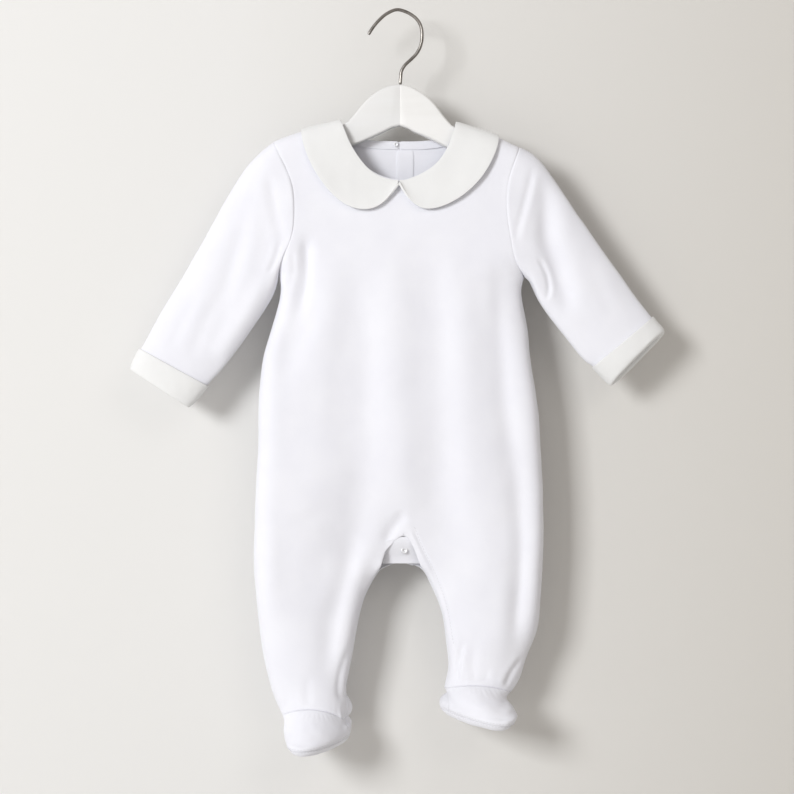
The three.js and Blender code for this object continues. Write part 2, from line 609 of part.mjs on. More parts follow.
// Left and right sleeves turn opposite ways round.
for (const side of ['left', 'right']) {
  const rings = [];
  const armhole = sleeveRing(side, 0);
  armhole.forEach((point, k) => {
    const row = k <= ARMHOLE_ROWS ? k : 2 * ARMHOLE_ROWS - k;
    const source = k <= ARMHOLE_ROWS ? frontBody : backBody;
    armhole[k] = source[row][side === 'left' ? 0 : COLUMNS];
  });
  rings.push(armhole);
  for (let k = 1; k <= SLEEVE_RINGS; k += 1) rings.push(sleeveRing(side, k / SLEEVE_RINGS));
  const count = 2 * ARMHOLE_ROWS;
  const seam = tableAt(SLEEVE[side], 'share', 1);
  const wrist = CUFF[side];
  const end = rings[SLEEVE_RINGS].map((point) => {
    const shift = new THREE.Vector3(wrist.topX - seam.topX, 0, wrist.topZ - seam.topZ);
    const low = new THREE.Vector3(wrist.underX - seam.underX, 0, wrist.underZ - seam.underZ);
    const whole = Math.hypot(seam.underX - seam.topX, seam.underZ - seam.topZ);
    const share = Math.hypot(point.x - seam.topX, point.z - seam.topZ) / whole;
    const move = shift.lerp(low, Math.min(share, 1)).multiplyScalar(SLEEVE_END);
    const lean = 1 + (point.y * wrist.lean) / move.length();
    return point.clone().addScaledVector(move, lean);
  });
  rings.push(end);
  addRows(`sleeve_${side}`, rings.map((ring) => close(ring.slice(0, count))), side === 'right');
}

// Feet grow out of the ankle ring: upper at the front, heel pouch behind, sole underneath.
function footFrame(side) {
  const foot = FOOT[side];
  const out = radians(foot.toeOut) * (side === 'left' ? -1 : 1);
  return { foot, out, pitch: radians(foot.droop) };
}

function ankleRing(side) {
  const front = legs[side].front[legs[side].front.length - 1];
  const back = legs[side].back[legs[side].back.length - 1];
  const behind = back.slice(1, -1).reverse();
  return [...front, ...behind];
}

function footRing(side, row) {
  const { out, pitch } = footFrame(side);
  const ankle = ankleRing(side);
  const centre = ankle.reduce((sum, point) => sum.add(point), new THREE.Vector3()).divideScalar(ankle.length);
  centre.x += FOOT[side].shift * row.turn;
  const turn = out * row.turn;
  const ahead = new THREE.Vector3(Math.sin(turn), -Math.cos(turn), 0);
  const across = new THREE.Vector3(Math.cos(turn), Math.sin(turn), 0);
  const upright = new THREE.Vector3(0, 0, Math.cos(pitch * row.turn));
  const up = upright.addScaledVector(ahead, Math.sin(pitch * row.turn));
  const toe = ahead.clone().multiplyScalar(Math.cos(pitch * row.turn));
  toe.z = -Math.sin(pitch * row.turn);
  return ankle.map((seam, k) => {
    const angle = Math.PI * (k / HALF_COLUMNS);
    const forward = Math.sin(angle) > 0 ? row.toe : row.heel;
    const point = centre.clone().addScaledVector(across, -Math.cos(angle) * row.side)
      .addScaledVector(toe, Math.sin(angle) * forward).addScaledVector(up, -row.down);
    point.z += (seam.z - centre.z) * (1 - row.turn);
    return point;
  });
}

for (const side of ['left', 'right']) {
  const rings = [ankleRing(side), ...FOOT_RINGS.map((row) => footRing(side, row))];
  const vamp = rings.map((ring) => ring.slice(0, HALF_COLUMNS + 1));
  const heel = rings.map((ring) => close(ring).slice(HALF_COLUMNS));
  addRows(`vamp_${side}`, vamp, false);
  addRows(`heel_${side}`, heel, false);
  const sole = [rings[rings.length - 1], ...SOLE_RINGS.map((row) => footRing(side, row))];
  const centre = { down: SOLE_CENTRE.down, toe: SOLE_CENTRE.toe, heel: 0, side: 0.01, turn: 1 };
  const middle = footRing(side, centre)[5];
  sole.push(sole[0].map(() => middle));
  addRows(`sole_${side}`, sole.map(close), false);
}

function faceNormal(corners) {
  const [a, b, c] = corners.map((id) => surface.points[id]);
  if (corners.length === 3) return b.clone().sub(a).cross(c.clone().sub(a));
  return c.clone().sub(a).cross(surface.points[corners[3]].clone().sub(b));
}

// Outward direction at each point of the surface, taken over all the pieces that meet there.
function surfaceNormals() {
  const normals = surface.points.map(() => new THREE.Vector3());
  for (const { corners } of surface.faces) {
    const normal = faceNormal(corners);
    for (const id of corners) normals[id].add(normal);
  }
  return normals.map((normal) => normal.normalize());
}

// Thickness of the wall at each point: a little thinner in sharp corners, so that the inside doesn't cross.
function wallThickness(normals) {
  const spread = surface.points.map(() => ({ sum: 0, count: 0 }));
  for (const { corners } of surface.faces) {
    const normal = faceNormal(corners).normalize();
    for (const id of corners) {
      spread[id].sum += normal.dot(normals[id]);
      spread[id].count += 1;
    }
  }
  return spread.map(({ sum, count }) => lerp(THINNEST_WALL, WALL, smooth((sum / count - 0.3) / 0.45)));
}

// Builds a closed solid from triangles over a list of points.
function solid(points, triangles) {
  const geometry = new THREE.BufferGeometry();
  const places = points.flatMap((p) => [p.x, p.y, p.z]);
  geometry.setAttribute('position', new THREE.Float32BufferAttribute(places, 3));
  geometry.setIndex(triangles.flat());
  geometry.computeVertexNormals();
  return geometry;
}

const fan = (corners) => corners.slice(2).map((_, k) => [corners[0], corners[k + 1], corners[k + 2]]);

// Edges of a piece with no neighbour of the same piece, each as a directed pair.
function openEdges(faces) {
  const pairs = new Map();
  for (const corners of faces) {
    corners.forEach((id, k) => {
      const next = corners[(k + 1) % corners.length];
      const back = `${next},${id}`;
      if (pairs.has(back)) pairs.delete(back);
      else pairs.set(`${id},${next}`, [id, next]);
    });
  }
  return [...pairs.values()];
}

// How far each edge point is drawn back, square to both of the edges that meet there.
function seamShifts(faces, edges) {
  const open = new Set(edges.map(String));
  const sides = new Map();
  for (const corners of faces) {
    const normal = faceNormal(corners);
    corners.forEach((from, k) => {
      const to = corners[(k + 1) % corners.length];
      if (!open.has(String([from, to]))) return;
      const run = surface.points[to].clone().sub(surface.points[from]);
      const inward = normal.clone().cross(run).normalize();
      for (const id of [from, to]) sides.set(id, [...(sides.get(id) ?? []), inward]);
    });
  }
  const shifts = new Map();
  for (const [id, [first, second]] of sides) {
    const share = 1 + Math.max(first.dot(second), SHARPEST_CORNER);
    shifts.set(id, first.clone().add(second).multiplyScalar(EDGE_BACK / share));
  }
  return shifts;
}

// One cloth piece: its faces, drawn back from the seams, with the wall's thickness on the inside.
function clothPiece(piece, normals, walls) {
  const faces = surface.faces.filter((face) => face.piece === piece).map((face) => face.corners);
  const edges = openEdges(faces);
  const rim = seamShifts(faces, edges);
  const ids = [...new Set(faces.flat())];
  const local = new Map(ids.map((id, k) => [id, k]));
  const still = new THREE.Vector3();
  const outer = ids.map((id) => surface.points[id].clone().add(rim.get(id) ?? still));
  const inner = ids.map((id, k) => outer[k].clone().addScaledVector(normals[id], -walls[id]));
  const count = ids.length;
  const triangles = [];
  for (const corners of faces) {
    for (const [a, b, c] of fan(corners.map((id) => local.get(id)))) {
      triangles.push([a, b, c], [a + count, c + count, b + count]);
    }
  }
  // Both pieces at a seam split its strip along the same diagonal, so that the two edges stay parallel.
  for (const [from, to] of edges) {
    const a = local.get(from);
    const b = local.get(to);
    if (from < to) triangles.push([a, a + count, b + count], [a, b + count, b]);
    else triangles.push([a, a + count, b], [a + count, b + count, b]);
  }
  return solid([...outer, ...inner], triangles);
}

// A strip between an under and an upper grid of points.
function slab(under, upper) {
  const across = under[0].length;
  const points = [...upper.flat(), ...under.flat()];
  const count = upper.length * across;
  const faces = [];
  for (let i = 0; i < upper.length - 1; i += 1) {
    for (let j = 0; j < across - 1; j += 1) {
      const a = i * across + j;
      faces.push([a, a + 1, a + across + 1, a + across]);
    }
  }
  const triangles = [];
  for (const corners of faces) {
    for (const [a, b, c] of fan(corners)) triangles.push([a, b, c], [a + count, c + count, b + count]);
  }
  for (const [a, b] of openEdges(faces)) triangles.push([a, a + count, b + count], [a, b + count, b]);
  return outwards(solid(points, triangles));
}

// Turns a closed solid's faces round if they point in.
function outwards(geometry) {
  const position = geometry.getAttribute('position');
  const index = geometry.getIndex();
  const [a, b, c] = [0, 1, 2].map(() => new THREE.Vector3());
  let volume = 0;
  for (let k = 0; k < index.count; k += 3) {
    a.fromBufferAttribute(position, index.getX(k));
    b.fromBufferAttribute(position, index.getX(k + 1));
    c.fromBufferAttribute(position, index.getX(k + 2));
    volume += a.dot(b.clone().cross(c));
  }
  if (volume < 0) {
    for (let k = 0; k < index.count; k += 3) {
      const second = index.getX(k + 1);
      index.setX(k + 1, index.getX(k + 2));
      index.setX(k + 2, second);
    }
  }
  geometry.computeVertexNormals();
  return geometry;
}

// Collar half: rays from neck edge to outer edge, laid on the chest, over the shoulder and on the back.
function collarGeometry(side) {
  const sign = side === 'left' ? -1 : 1;
  const front = COLLAR_FRONT[side].map((row) => ({ face: 'front', ...row }));
  const crest = front[front.length - 1];
  const back = COLLAR_BACK.map((row) => ({
    inX: CENTRE_TOP + sign * (row.inX - CENTRE_TOP + 2.4), inZ: row.inZ,
    outX: CENTRE_TOP + sign * (row.outX - CENTRE_TOP + 2.4), outZ: row.outZ,
  }));
  const number = (rows) => rows.map(({ inX, inZ, outX, outZ }, k) => ({ step: k, inX, inZ, outX, outZ }));
  const frontRows = number(front);
  const backRows = number([crest, ...back]);
  const last = front.length - 1;
  const frontSteps = [0, 0.5, 1, 1.6, 2.2, 2.8, 3.4, 4, 4.7, 5.4, 6.2, 7, 7.8, 8.45, 8.84];
  const backSteps = [0.14, 0.5, 1, 1.8, 2.6, 3.4, 4.2, 5];
  const rays = frontSteps.map((step) => (
    { face: 'front', fromCrest: last - step, ...tableAt(frontRows, 'step', step) }
  ));
  rays.push({ face: 'crest', behind: 0, ...tableAt(frontRows, 'step', last) });
  rays.push(...backSteps.map((step) => {
    const behind = BEHIND_PLACKET * smooth(step / COLLAR_BACK.length);
    return { face: 'back', behind, ...tableAt(backRows, 'step', step) };
  }));
  const layer = (extra) => rays.map((ray) => Array.from({ length: COLLAR_ACROSS + 1 }, (_, k) => {
    const t = k / COLLAR_ACROSS;
    const x = lerp(ray.inX, ray.outX, t);
    const z = lerp(ray.inZ, ray.outZ, t);
    const stand = ray.face === 'front' ? COLLAR_STAND * smooth(ray.fromCrest / CREST_FADE) : ray.behind;
    const out = COLLAR_CLEAR + stand * (ray.face === 'front' ? t ** 1.6 : 1) + extra;
    if (ray.face !== 'crest') return bodyPoint(ray.face, x, z, out);
    const line = tableAt(SHOULDER[side].map((row) => ({ ...row })), 'x', x);
    return new THREE.Vector3(x, 0, line.z + out);
  }));
  return slab(layer(0), layer(COLLAR_WALL));
}

// Flat strips that lie on the body: rays between two lines, on the outside or the inside of the cloth.
function stripGeometry(face, rays, near, far) {
  const layer = (out) => rays.map((ray) => ray.map(([x, z]) => bodyPoint(face, x, z, out)));
  return slab(layer(near), layer(far));
}

function neckBindingGeometry(side) {
  const rows = 8;
  const rays = Array.from({ length: rows + 1 }, (_, k) => {
    const share = lerp(0.24, 0.995, k / rows);
    const edge = tableAt(BACK_NECK, 'share', share);
    const neck = side === 'right' ? lerp(SHOULDER.right[4].z, SHOULDER.left[4].z, share) : SHOULDER.left[4].z;
    const x = edge[side] + (side === 'left' ? -0.3 : 0.3) * (k === rows ? 1 : 0);
    return [0, 0.5, 1].map((t) => [x * (1 + 0.04 * t), neck - edge.drop - 0.4 - BINDING_DEPTH * t]);
  });
  return stripGeometry('back', rays, -WALL - SEAM_GAP, -WALL - SEAM_GAP - BINDING_WALL);
}

function backStripGeometry({ left, right }, top, near, far) {
  const rows = 12;
  const rays = Array.from({ length: rows + 1 }, (_, k) => {
    const z = lerp(top, -123 - OPENING_LENGTH, k / rows);
    return [0, 0.5, 1].map((t) => [lerp(left, right, t), z]);
  });
  return stripGeometry('back', rays, near, far);
}

// Placket along the back crotch edge, on the inside of the back.
function crotchPlacketGeometry() {
  const edge = [
    { step: 0, x: -11, z: -524, inX: -19, inZ: -507 },
    { step: 1, x: 3, z: -523.6, inX: 2, inZ: -500 },
    { step: 2, x: 19, z: -524, inX: 25, inZ: -500 },
  ];
  const rows = 8;
  const rays = Array.from({ length: rows + 1 }, (_, k) => {
    const row = tableAt(edge, 'step', (k / rows) * (edge.length - 1));
    return [0, 0.34, 0.67, 1].map((t) => [lerp(row.x, row.inX, t), lerp(row.z, row.inZ, t)]);
  });
  const near = -WALL - SEAM_GAP - CROTCH_PLACKET_CLEAR;
  return stripGeometry('back', rays, near, near - BINDING_WALL);
}

// A popper cap: a low round button, its axis along Y.
function popperGeometry(radius) {
  const profile = [[0, 0], [radius, 0], [radius, 0.6], [radius * 0.7, 1], [0, 0.8]];
  return new THREE.LatheGeometry(profile.map(([r, h]) => new THREE.Vector2(r, h * POPPER_THICKNESS)), 16);
}

function addPopper(parent, name, { x, z, radius = POPPER_RADIUS }, out) {
  const mesh = addMesh(parent, name, popperGeometry(radius), finish(COLOURS.popper, 0.35, 0.6));
  mesh.position.copy(bodyPoint('back', x, z, out));
  if (out < 0) mesh.rotation.x = Math.PI;
}

function hangerGeometry() {
  const shape = new THREE.Shape();
  const outline = new THREE.SplineCurve(HANGER_TOP.map(([x, z]) => new THREE.Vector2(x, z))).getPoints(40);
  const lower = new THREE.SplineCurve(HANGER_UNDER.map(([x, z]) => new THREE.Vector2(x, z))).getPoints(24);
  shape.setFromPoints([...outline, ...lower]);
  const geometry = new THREE.ExtrudeGeometry(shape, {
    depth: HANGER_THICKNESS - 2 * HANGER_BEVEL, steps: 1,
    bevelEnabled: true, bevelThickness: HANGER_BEVEL, bevelSize: HANGER_BEVEL, bevelOffset: -HANGER_BEVEL,
    bevelSegments: 2,
  });
  geometry.translate(0, 0, -(HANGER_THICKNESS - 2 * HANGER_BEVEL) / 2);
  geometry.rotateX(Math.PI / 2);
  return geometry;
}

function hookGeometry() {
  const path = new THREE.CatmullRomCurve3(HOOK_LINE.map(([x, z]) => new THREE.Vector3(x, 0, z)));
  const section = new THREE.Shape();
  for (let k = 0; k < HOOK_SIDES; k += 1) {
    const turn = (2 * Math.PI * k) / HOOK_SIDES;
    const [x, y] = [WIRE_RADIUS * Math.cos(turn), WIRE_RADIUS * Math.sin(turn)];
    if (k === 0) section.moveTo(x, y);
    else section.lineTo(x, y);
  }
  section.closePath();
  return new THREE.ExtrudeGeometry(section, { steps: HOOK_STEPS, extrudePath: path, bevelEnabled: false });
}

function cuffGeometry(side) {
  const rings = CUFF_SECTION.map(({ down, out }) => cuffRing(side, down, out));
  const triangles = [];
  const count = CUFF_RINGS;
  rings.forEach((_, i) => {
    const next = (i + 1) % rings.length;
    for (let k = 0; k < count; k += 1) {
      const step = (k + 1) % count;
      const [a, b, c, d] = [i * count + k, next * count + k, next * count + step, i * count + step];
      triangles.push([a, b, c], [a, c, d]);
    }
  });
  return outwards(solid(rings.flat(), triangles));
}

const jersey = () => finish(COLOURS.jersey, 0.85);
const trim = () => finish(COLOURS.trim, 0.82);
const suit = new THREE.Group();
const addMesh = (parent, name, geometry, material) => {
  const mesh = new THREE.Mesh(geometry, material);
  mesh.name = name;
  parent.add(mesh);
  return mesh;
};

const normals = surfaceNormals();
const walls = wallThickness(normals);
const clothPieces = [...new Set(surface.faces.map((face) => face.piece))];
for (const piece of clothPieces) addMesh(suit, piece, clothPiece(piece, normals, walls), jersey());
for (const side of ['left', 'right']) {
  addMesh(suit, `collar_${side}`, collarGeometry(side), trim());
  addMesh(suit, `cuff_${side}`, cuffGeometry(side), trim());
  addMesh(suit, `neck_binding_${side}`, neckBindingGeometry(side), jersey());
}
addMesh(suit, 'crotch_placket', crotchPlacketGeometry(), jersey());
const underPlacket = SEAM_GAP;
const overPlacket = underPlacket + BINDING_WALL;
addMesh(suit, 'back_placket', backStripGeometry(PLACKET, -124.5, underPlacket, overPlacket), jersey());
const nearFacing = -WALL - SEAM_GAP;
const farFacing = nearFacing - BINDING_WALL;
addMesh(suit, 'back_facing', backStripGeometry(FACING, -131.5, nearFacing, farFacing), jersey());
BACK_POPPERS.forEach((place, k) => {
  addPopper(suit, `back_popper_${k + 1}`, place, overPlacket + POPPER_CLEAR);
});
addPopper(suit, 'neck_popper', NECK_POPPER, farFacing - POPPER_CLEAR);
addPopper(suit, 'crotch_popper', CROTCH_POPPER, farFacing - CROTCH_PLACKET_CLEAR - POPPER_CLEAR);

const hanger = new THREE.Group();
addMesh(hanger, 'hanger_body', hangerGeometry(), finish(COLOURS.wood, 0.45));
addMesh(hanger, 'hanger_hook', hookGeometry(), finish(COLOURS.steel, 0.3, 0.9));

const part = new THREE.Group();
part.add(suit, hanger);

export default part;
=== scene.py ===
"""Footed baby sleepsuit on a painted wooden hanger: the finish of every piece.

The frame is the CAD model's own: metres, Z up, the garment's front towards -Y, and the origin under the
crown of the hook. Sizes of cloth details are written in millimetres, and MM turns them into metres.
"""

import logging
import math
from dataclasses import dataclass, field
from enum import Enum

import bmesh
import bpy
import numpy as np
from mathutils import Matrix, Vector, noise
from mathutils.bvhtree import BVHTree
from mathutils.kdtree import KDTree


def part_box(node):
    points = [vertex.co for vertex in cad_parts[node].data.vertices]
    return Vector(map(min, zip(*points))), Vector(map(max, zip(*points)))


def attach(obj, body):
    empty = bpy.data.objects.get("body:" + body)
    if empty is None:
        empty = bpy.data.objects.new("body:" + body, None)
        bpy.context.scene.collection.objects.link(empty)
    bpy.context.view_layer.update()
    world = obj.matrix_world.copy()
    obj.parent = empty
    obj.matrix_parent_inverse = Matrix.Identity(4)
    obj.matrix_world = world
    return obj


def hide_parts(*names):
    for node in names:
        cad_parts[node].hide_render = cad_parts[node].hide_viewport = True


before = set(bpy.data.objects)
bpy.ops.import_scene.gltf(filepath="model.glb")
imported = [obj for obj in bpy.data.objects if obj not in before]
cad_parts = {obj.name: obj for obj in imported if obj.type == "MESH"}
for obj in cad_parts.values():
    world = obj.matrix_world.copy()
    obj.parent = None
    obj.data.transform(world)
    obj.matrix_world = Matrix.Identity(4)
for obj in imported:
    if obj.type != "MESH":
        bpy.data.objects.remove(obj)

logging.basicConfig(level=logging.INFO, format="%(message)s")
log = logging.getLogger("sleepsuit")

MM = 0.001
BODY = "root"
WELD = 0.01 * MM  # points of a CAD copy nearer than this are one
LINE_STEPS = 28  # points along one crease
FOOT_CENTRES = {"left": (-76.0, -6.0, -682.0), "right": (76.0, -5.0, -659.0)}
FOOT_CREASE = 50.0  # degrees, between a foot piece and its rim
SOLE_TURNED_UP = 3.3  # millimetres, of each sole's edge round its toes
TOES_END = 8.0  # Y in millimetres from which a sole's edge rises towards the toes
TOES_FADE = 20.0  # millimetres over which it gets to its full height
SOLE_FADE = 12.0  # millimetres of height over which that rise dies out above the sole
CALM_EDGE = 6.0  # millimetres from a seam within which the folds get shallower
SEAM_SHARE = 0.25  # of a fold's depth, left at the seam
EDGE_ANGLE = 55.0  # degrees, from which a thick cloth's edge is rounded
RIDGE_AWAY = 1.9  # from a fold's trough to its ridge, in widths of the trough
RIDGE_WIDTH = 1.1  # of a ridge, in widths of its trough
SIDEWAYS_SHARE = 0.35  # of a fold, before easing, where the cloth faces sideways
FACING_GAIN = 0.8  # added to that where it faces the fold's own side
GLUE_LINE = 3.3  # X in millimetres at which the hanger's halves meet
WAVE_PERIOD = 2 * math.pi / 20  # metres, of a wave texture at scale 1


class Side(Enum):
    """Which side of the garment a crease lies on."""

    FRONT = -1.0
    BACK = 1.0
    BOTH = 0.0


class Slot(Enum):
    """Material slots."""

    JERSEY = "jersey"
    TRIM = "trim"
    WOOD = "wood"
    STEEL = "steel"
    POPPER = "popper"


# Finishes


class Nodes:
    """Adds and joins the shader nodes of one material."""

    def __init__(self, name: str) -> None:
        """Starts an empty material.

        Args:
            name: name of the material.
        """
        self.material = bpy.data.materials.new(name)
        self.material.use_nodes = True
        self.tree = self.material.node_tree
        self.tree.nodes.clear()
        self.output = self.tree.nodes.new("ShaderNodeOutputMaterial")

    def add(self, kind: str, settings: dict | None = None, **inputs: object) -> bpy.types.Node:
        """Adds a node.

        Args:
            kind: type of the node, without "ShaderNode".
            settings: properties of the node itself.
            **inputs: values or sockets for its inputs, a space in the name written as an underscore.

        Returns:
            The new node.
        """
        node = self.tree.nodes.new("ShaderNode" + kind)
        for key, value in (settings or {}).items():
            setattr(node, key, value)
        for key, value in inputs.items():
            self.feed(node.inputs[key.replace("_", " ")], value)
        return node

    def feed(self, socket: bpy.types.NodeSocket, value: object) -> None:
        """Links a socket to an input, or sets the input's own value.

        Args:
            socket: the input.
            value: a socket to link, or a plain value.
        """
        if isinstance(value, bpy.types.NodeSocket):
            self.tree.links.new(value, socket)
        else:
            socket.default_value = value

    def math(self, operation: str, *inputs: object) -> bpy.types.NodeSocket:
        """Adds a Math node.

        Args:
            operation: name of the operation.
            *inputs: its inputs in order.

        Returns:
            Its output.
        """
        node = self.add("Math", {"operation": operation})
        for socket, value in zip(node.inputs, inputs):
            self.feed(socket, value)
        return node.outputs[0]

    def mix(self, factor: object, first: object, second: object) -> bpy.types.NodeSocket:
        """Adds a colour mix.

        Args:
            factor: share of the second colour.
            first: first colour.
            second: second colour.

        Returns:
            The mixed colour.
        """
        node = self.add("Mix", {"data_type": "RGBA"})
        self.feed(node.inputs[0], factor)
        self.feed(node.inputs[6], first)
        self.feed(node.inputs[7], second)
        return node.outputs[2]

    def spread(
        self, value: object, low: float, high: float, to_low: float, to_high: float,
    ) -> bpy.types.NodeSocket:
        """Maps a range of values to another.

        Args:
            value: what is mapped.
            low: value that becomes to_low.
            high: value that becomes to_high.
            to_low: result at low.
            to_high: result at high.

        Returns:
            The mapped value.
        """
        node = self.add("MapRange", Value=value, From_Min=low, From_Max=high, To_Min=to_low, To_Max=to_high)
        return node.outputs[0]

    def places(self, turn: float = 0.0) -> bpy.types.NodeSocket:
        """Object coordinates, turned in the front view.

        Args:
            turn: degrees about the Y axis.

        Returns:
            The turned coordinates.
        """
        coordinates = self.add("TexCoord").outputs["Object"]
        mapping = self.add("Mapping", Vector=coordinates, Rotation=(0.0, math.radians(turn), 0.0))
        return mapping.outputs[0]

    def finish(self, shader: bpy.types.NodeSocket) -> bpy.types.Material:
        """Links the shader to the output and gives the material."""
        self.feed(self.output.inputs["Surface"], shader)
        return self.material


@dataclass(frozen=True)
class KnitFinish:
    """Plain cotton knit: columns of stitches crossed by rows, faintly uneven, with a soft nap.

    The knit is turned about Y by turn degrees. column, row, relief and waver are lengths in metres.
    """

    name: str
    colour: tuple[float, float, float]
    shade: tuple[float, float, float]
    turn: float = 0.0
    column: float = 0.75 * MM
    row: float = 0.55 * MM
    roughness: float = 0.88
    sheen: float = 0.18
    bump: float = 0.35
    relief: float = 0.12 * MM
    waver: float = 0.25 * MM
    waver_scale: float = 260.0
    nap_scale: float = 1400.0
    nap_share: float = 0.5
    cloud_scale: float = 28.0
    stitch_tone: float = 0.25

    def material(self) -> bpy.types.Material:
        """Builds the material.

        Returns:
            The finished material.
        """
        nodes = Nodes(self.name)
        places = nodes.places(self.turn)
        waver = nodes.add("TexNoise", Vector=places, Scale=self.waver_scale, Detail=2.0).outputs["Color"]
        wavering = nodes.add("VectorMath", {"operation": "MULTIPLY_ADD"})
        nodes.feed(wavering.inputs[0], waver)
        nodes.feed(wavering.inputs[1], (self.waver, self.waver, self.waver))
        nodes.feed(wavering.inputs[2], places)
        knit_places = wavering.outputs[0]
        columns, rows = (
            nodes.add("TexWave", {"bands_direction": way}, Vector=knit_places, Scale=WAVE_PERIOD / size)
            for way, size in (("X", self.column), ("Z", self.row))
        )
        stitches = nodes.math("MULTIPLY", columns.outputs["Fac"], rows.outputs["Fac"])
        nap = nodes.add("TexNoise", Vector=places, Scale=self.nap_scale, Detail=3.0).outputs["Fac"]
        height = nodes.math("MULTIPLY_ADD", nap, self.nap_share, stitches)
        clouds = nodes.add("TexNoise", Vector=places, Scale=self.cloud_scale, Detail=3.0).outputs["Fac"]
        cloudy = nodes.spread(clouds, 0.3, 0.7, 0.0, 0.6)
        tone = nodes.math("MULTIPLY_ADD", stitches, self.stitch_tone, cloudy)
        colour = nodes.mix(tone, (*self.shade, 1.0), (*self.colour, 1.0))
        bump = nodes.add("Bump", Strength=self.bump, Distance=self.relief, Height=height)
        roughness = nodes.spread(clouds, 0.3, 0.7, self.roughness - 0.03, self.roughness + 0.04)
        shader = nodes.add(
            "BsdfPrincipled", Base_Color=colour, Roughness=roughness, Normal=bump.outputs[0],
            Sheen_Weight=self.sheen, Sheen_Roughness=0.6, Specular_IOR_Level=0.18,
        )
        return nodes.finish(shader.outputs[0])


@dataclass(frozen=True)
class PaintedWoodFinish:
    """White satin paint over fine-grained wood; painted shade on the left glued half, painted light on the
    right.

    worn is the paint where the brush left it thin. along is the scale of grain and brush marks in X, which
    draws them out.
    """

    name: str = "painted_wood"
    # left is painted shade and right painted light: they stand in for the halves' faces turning away from
    # and towards the light from the left
    left: tuple[float, float, float] = (0.80, 0.805, 0.81)
    right: tuple[float, float, float] = (0.87, 0.87, 0.865)
    worn: tuple[float, float, float] = (0.74, 0.735, 0.72)
    joint: float = GLUE_LINE * MM
    along: float = 0.12
    grain_scale: float = 810.0
    brush_scale: float = 90.0

    def material(self) -> bpy.types.Material:
        """Builds the material.

        Returns:
            The finished material.
        """
        nodes = Nodes(self.name)
        places = nodes.add("TexCoord").outputs["Object"]
        across = nodes.add("SeparateXYZ", Vector=places).outputs["X"]
        half = nodes.math("GREATER_THAN", across, self.joint)
        stretched = nodes.add("Mapping", Vector=places, Scale=(self.along, 1.0, 1.0)).outputs[0]
        grain = nodes.add("TexNoise", Vector=stretched, Scale=self.grain_scale, Detail=5.0).outputs["Fac"]
        brush = nodes.add("TexNoise", Vector=stretched, Scale=self.brush_scale, Detail=2.0).outputs["Fac"]
        # painted shade on the left half and painted light on the right half, split at the glue line
        tone = nodes.mix(half, (*self.left, 1.0), (*self.right, 1.0))
        colour = nodes.mix(nodes.spread(brush, 0.35, 0.75, 0.0, 0.35), tone, (*self.worn, 1.0))
        bump = nodes.add("Bump", Strength=0.12, Distance=0.15 * MM, Height=grain)
        roughness = nodes.spread(brush, 0.3, 0.7, 0.36, 0.5)
        shader = nodes.add(
            "BsdfPrincipled", Base_Color=colour, Roughness=roughness, Normal=bump.outputs[0],
            Coat_Weight=0.15,
        )
        return nodes.finish(shader.outputs[0])


@dataclass(frozen=True)
class SteelFinish:
    """Brushed steel with fine streaks."""

    name: str
    colour: tuple[float, float, float]
    dark: tuple[float, float, float]
    roughness: float = 0.3
    streak_scale: float = 2600.0
    stain_scale: float = 160.0

    def material(self) -> bpy.types.Material:
        """Builds the material.

        Returns:
            The finished material.
        """
        nodes = Nodes(self.name)
        places = nodes.add("TexCoord").outputs["Object"]
        streak = nodes.add("TexNoise", Vector=places, Scale=self.streak_scale, Detail=2.0).outputs["Fac"]
        stain = nodes.add("TexNoise", Vector=places, Scale=self.stain_scale, Detail=4.0).outputs["Fac"]
        colour = nodes.mix(nodes.spread(stain, 0.35, 0.7, 0.0, 1.0), (*self.colour, 1.0), (*self.dark, 1.0))
        bump = nodes.add("Bump", Strength=0.15, Distance=0.05 * MM, Height=streak)
        roughness = nodes.spread(streak, 0.3, 0.7, self.roughness - 0.06, self.roughness + 0.1)
        shader = nodes.add(
            "BsdfPrincipled", Base_Color=colour, Roughness=roughness, Metallic=1.0, Normal=bump.outputs[0],
        )
        return nodes.finish(shader.outputs[0])


@dataclass(frozen=True)
class ThreadFinish:
    """Twisted sewing thread."""

    name: str
    colour: tuple[float, float, float]
    twist_scale: float = 3000.0

    def material(self) -> bpy.types.Material:
        """Builds the material.

        Returns:
            The finished material.
        """
        nodes = Nodes(self.name)
        places = nodes.add("TexCoord").outputs["Object"]
        twist = nodes.add("TexNoise", Vector=places, Scale=self.twist_scale, Detail=1.0).outputs["Fac"]
        bump = nodes.add("Bump", Strength=0.4, Distance=0.05 * MM, Height=twist)
        shader = nodes.add(
            "BsdfPrincipled", Base_Color=(*self.colour, 1.0), Roughness=0.7, Normal=bump.outputs[0],
            Sheen_Weight=0.3,
        )
        return nodes.finish(shader.outputs[0])


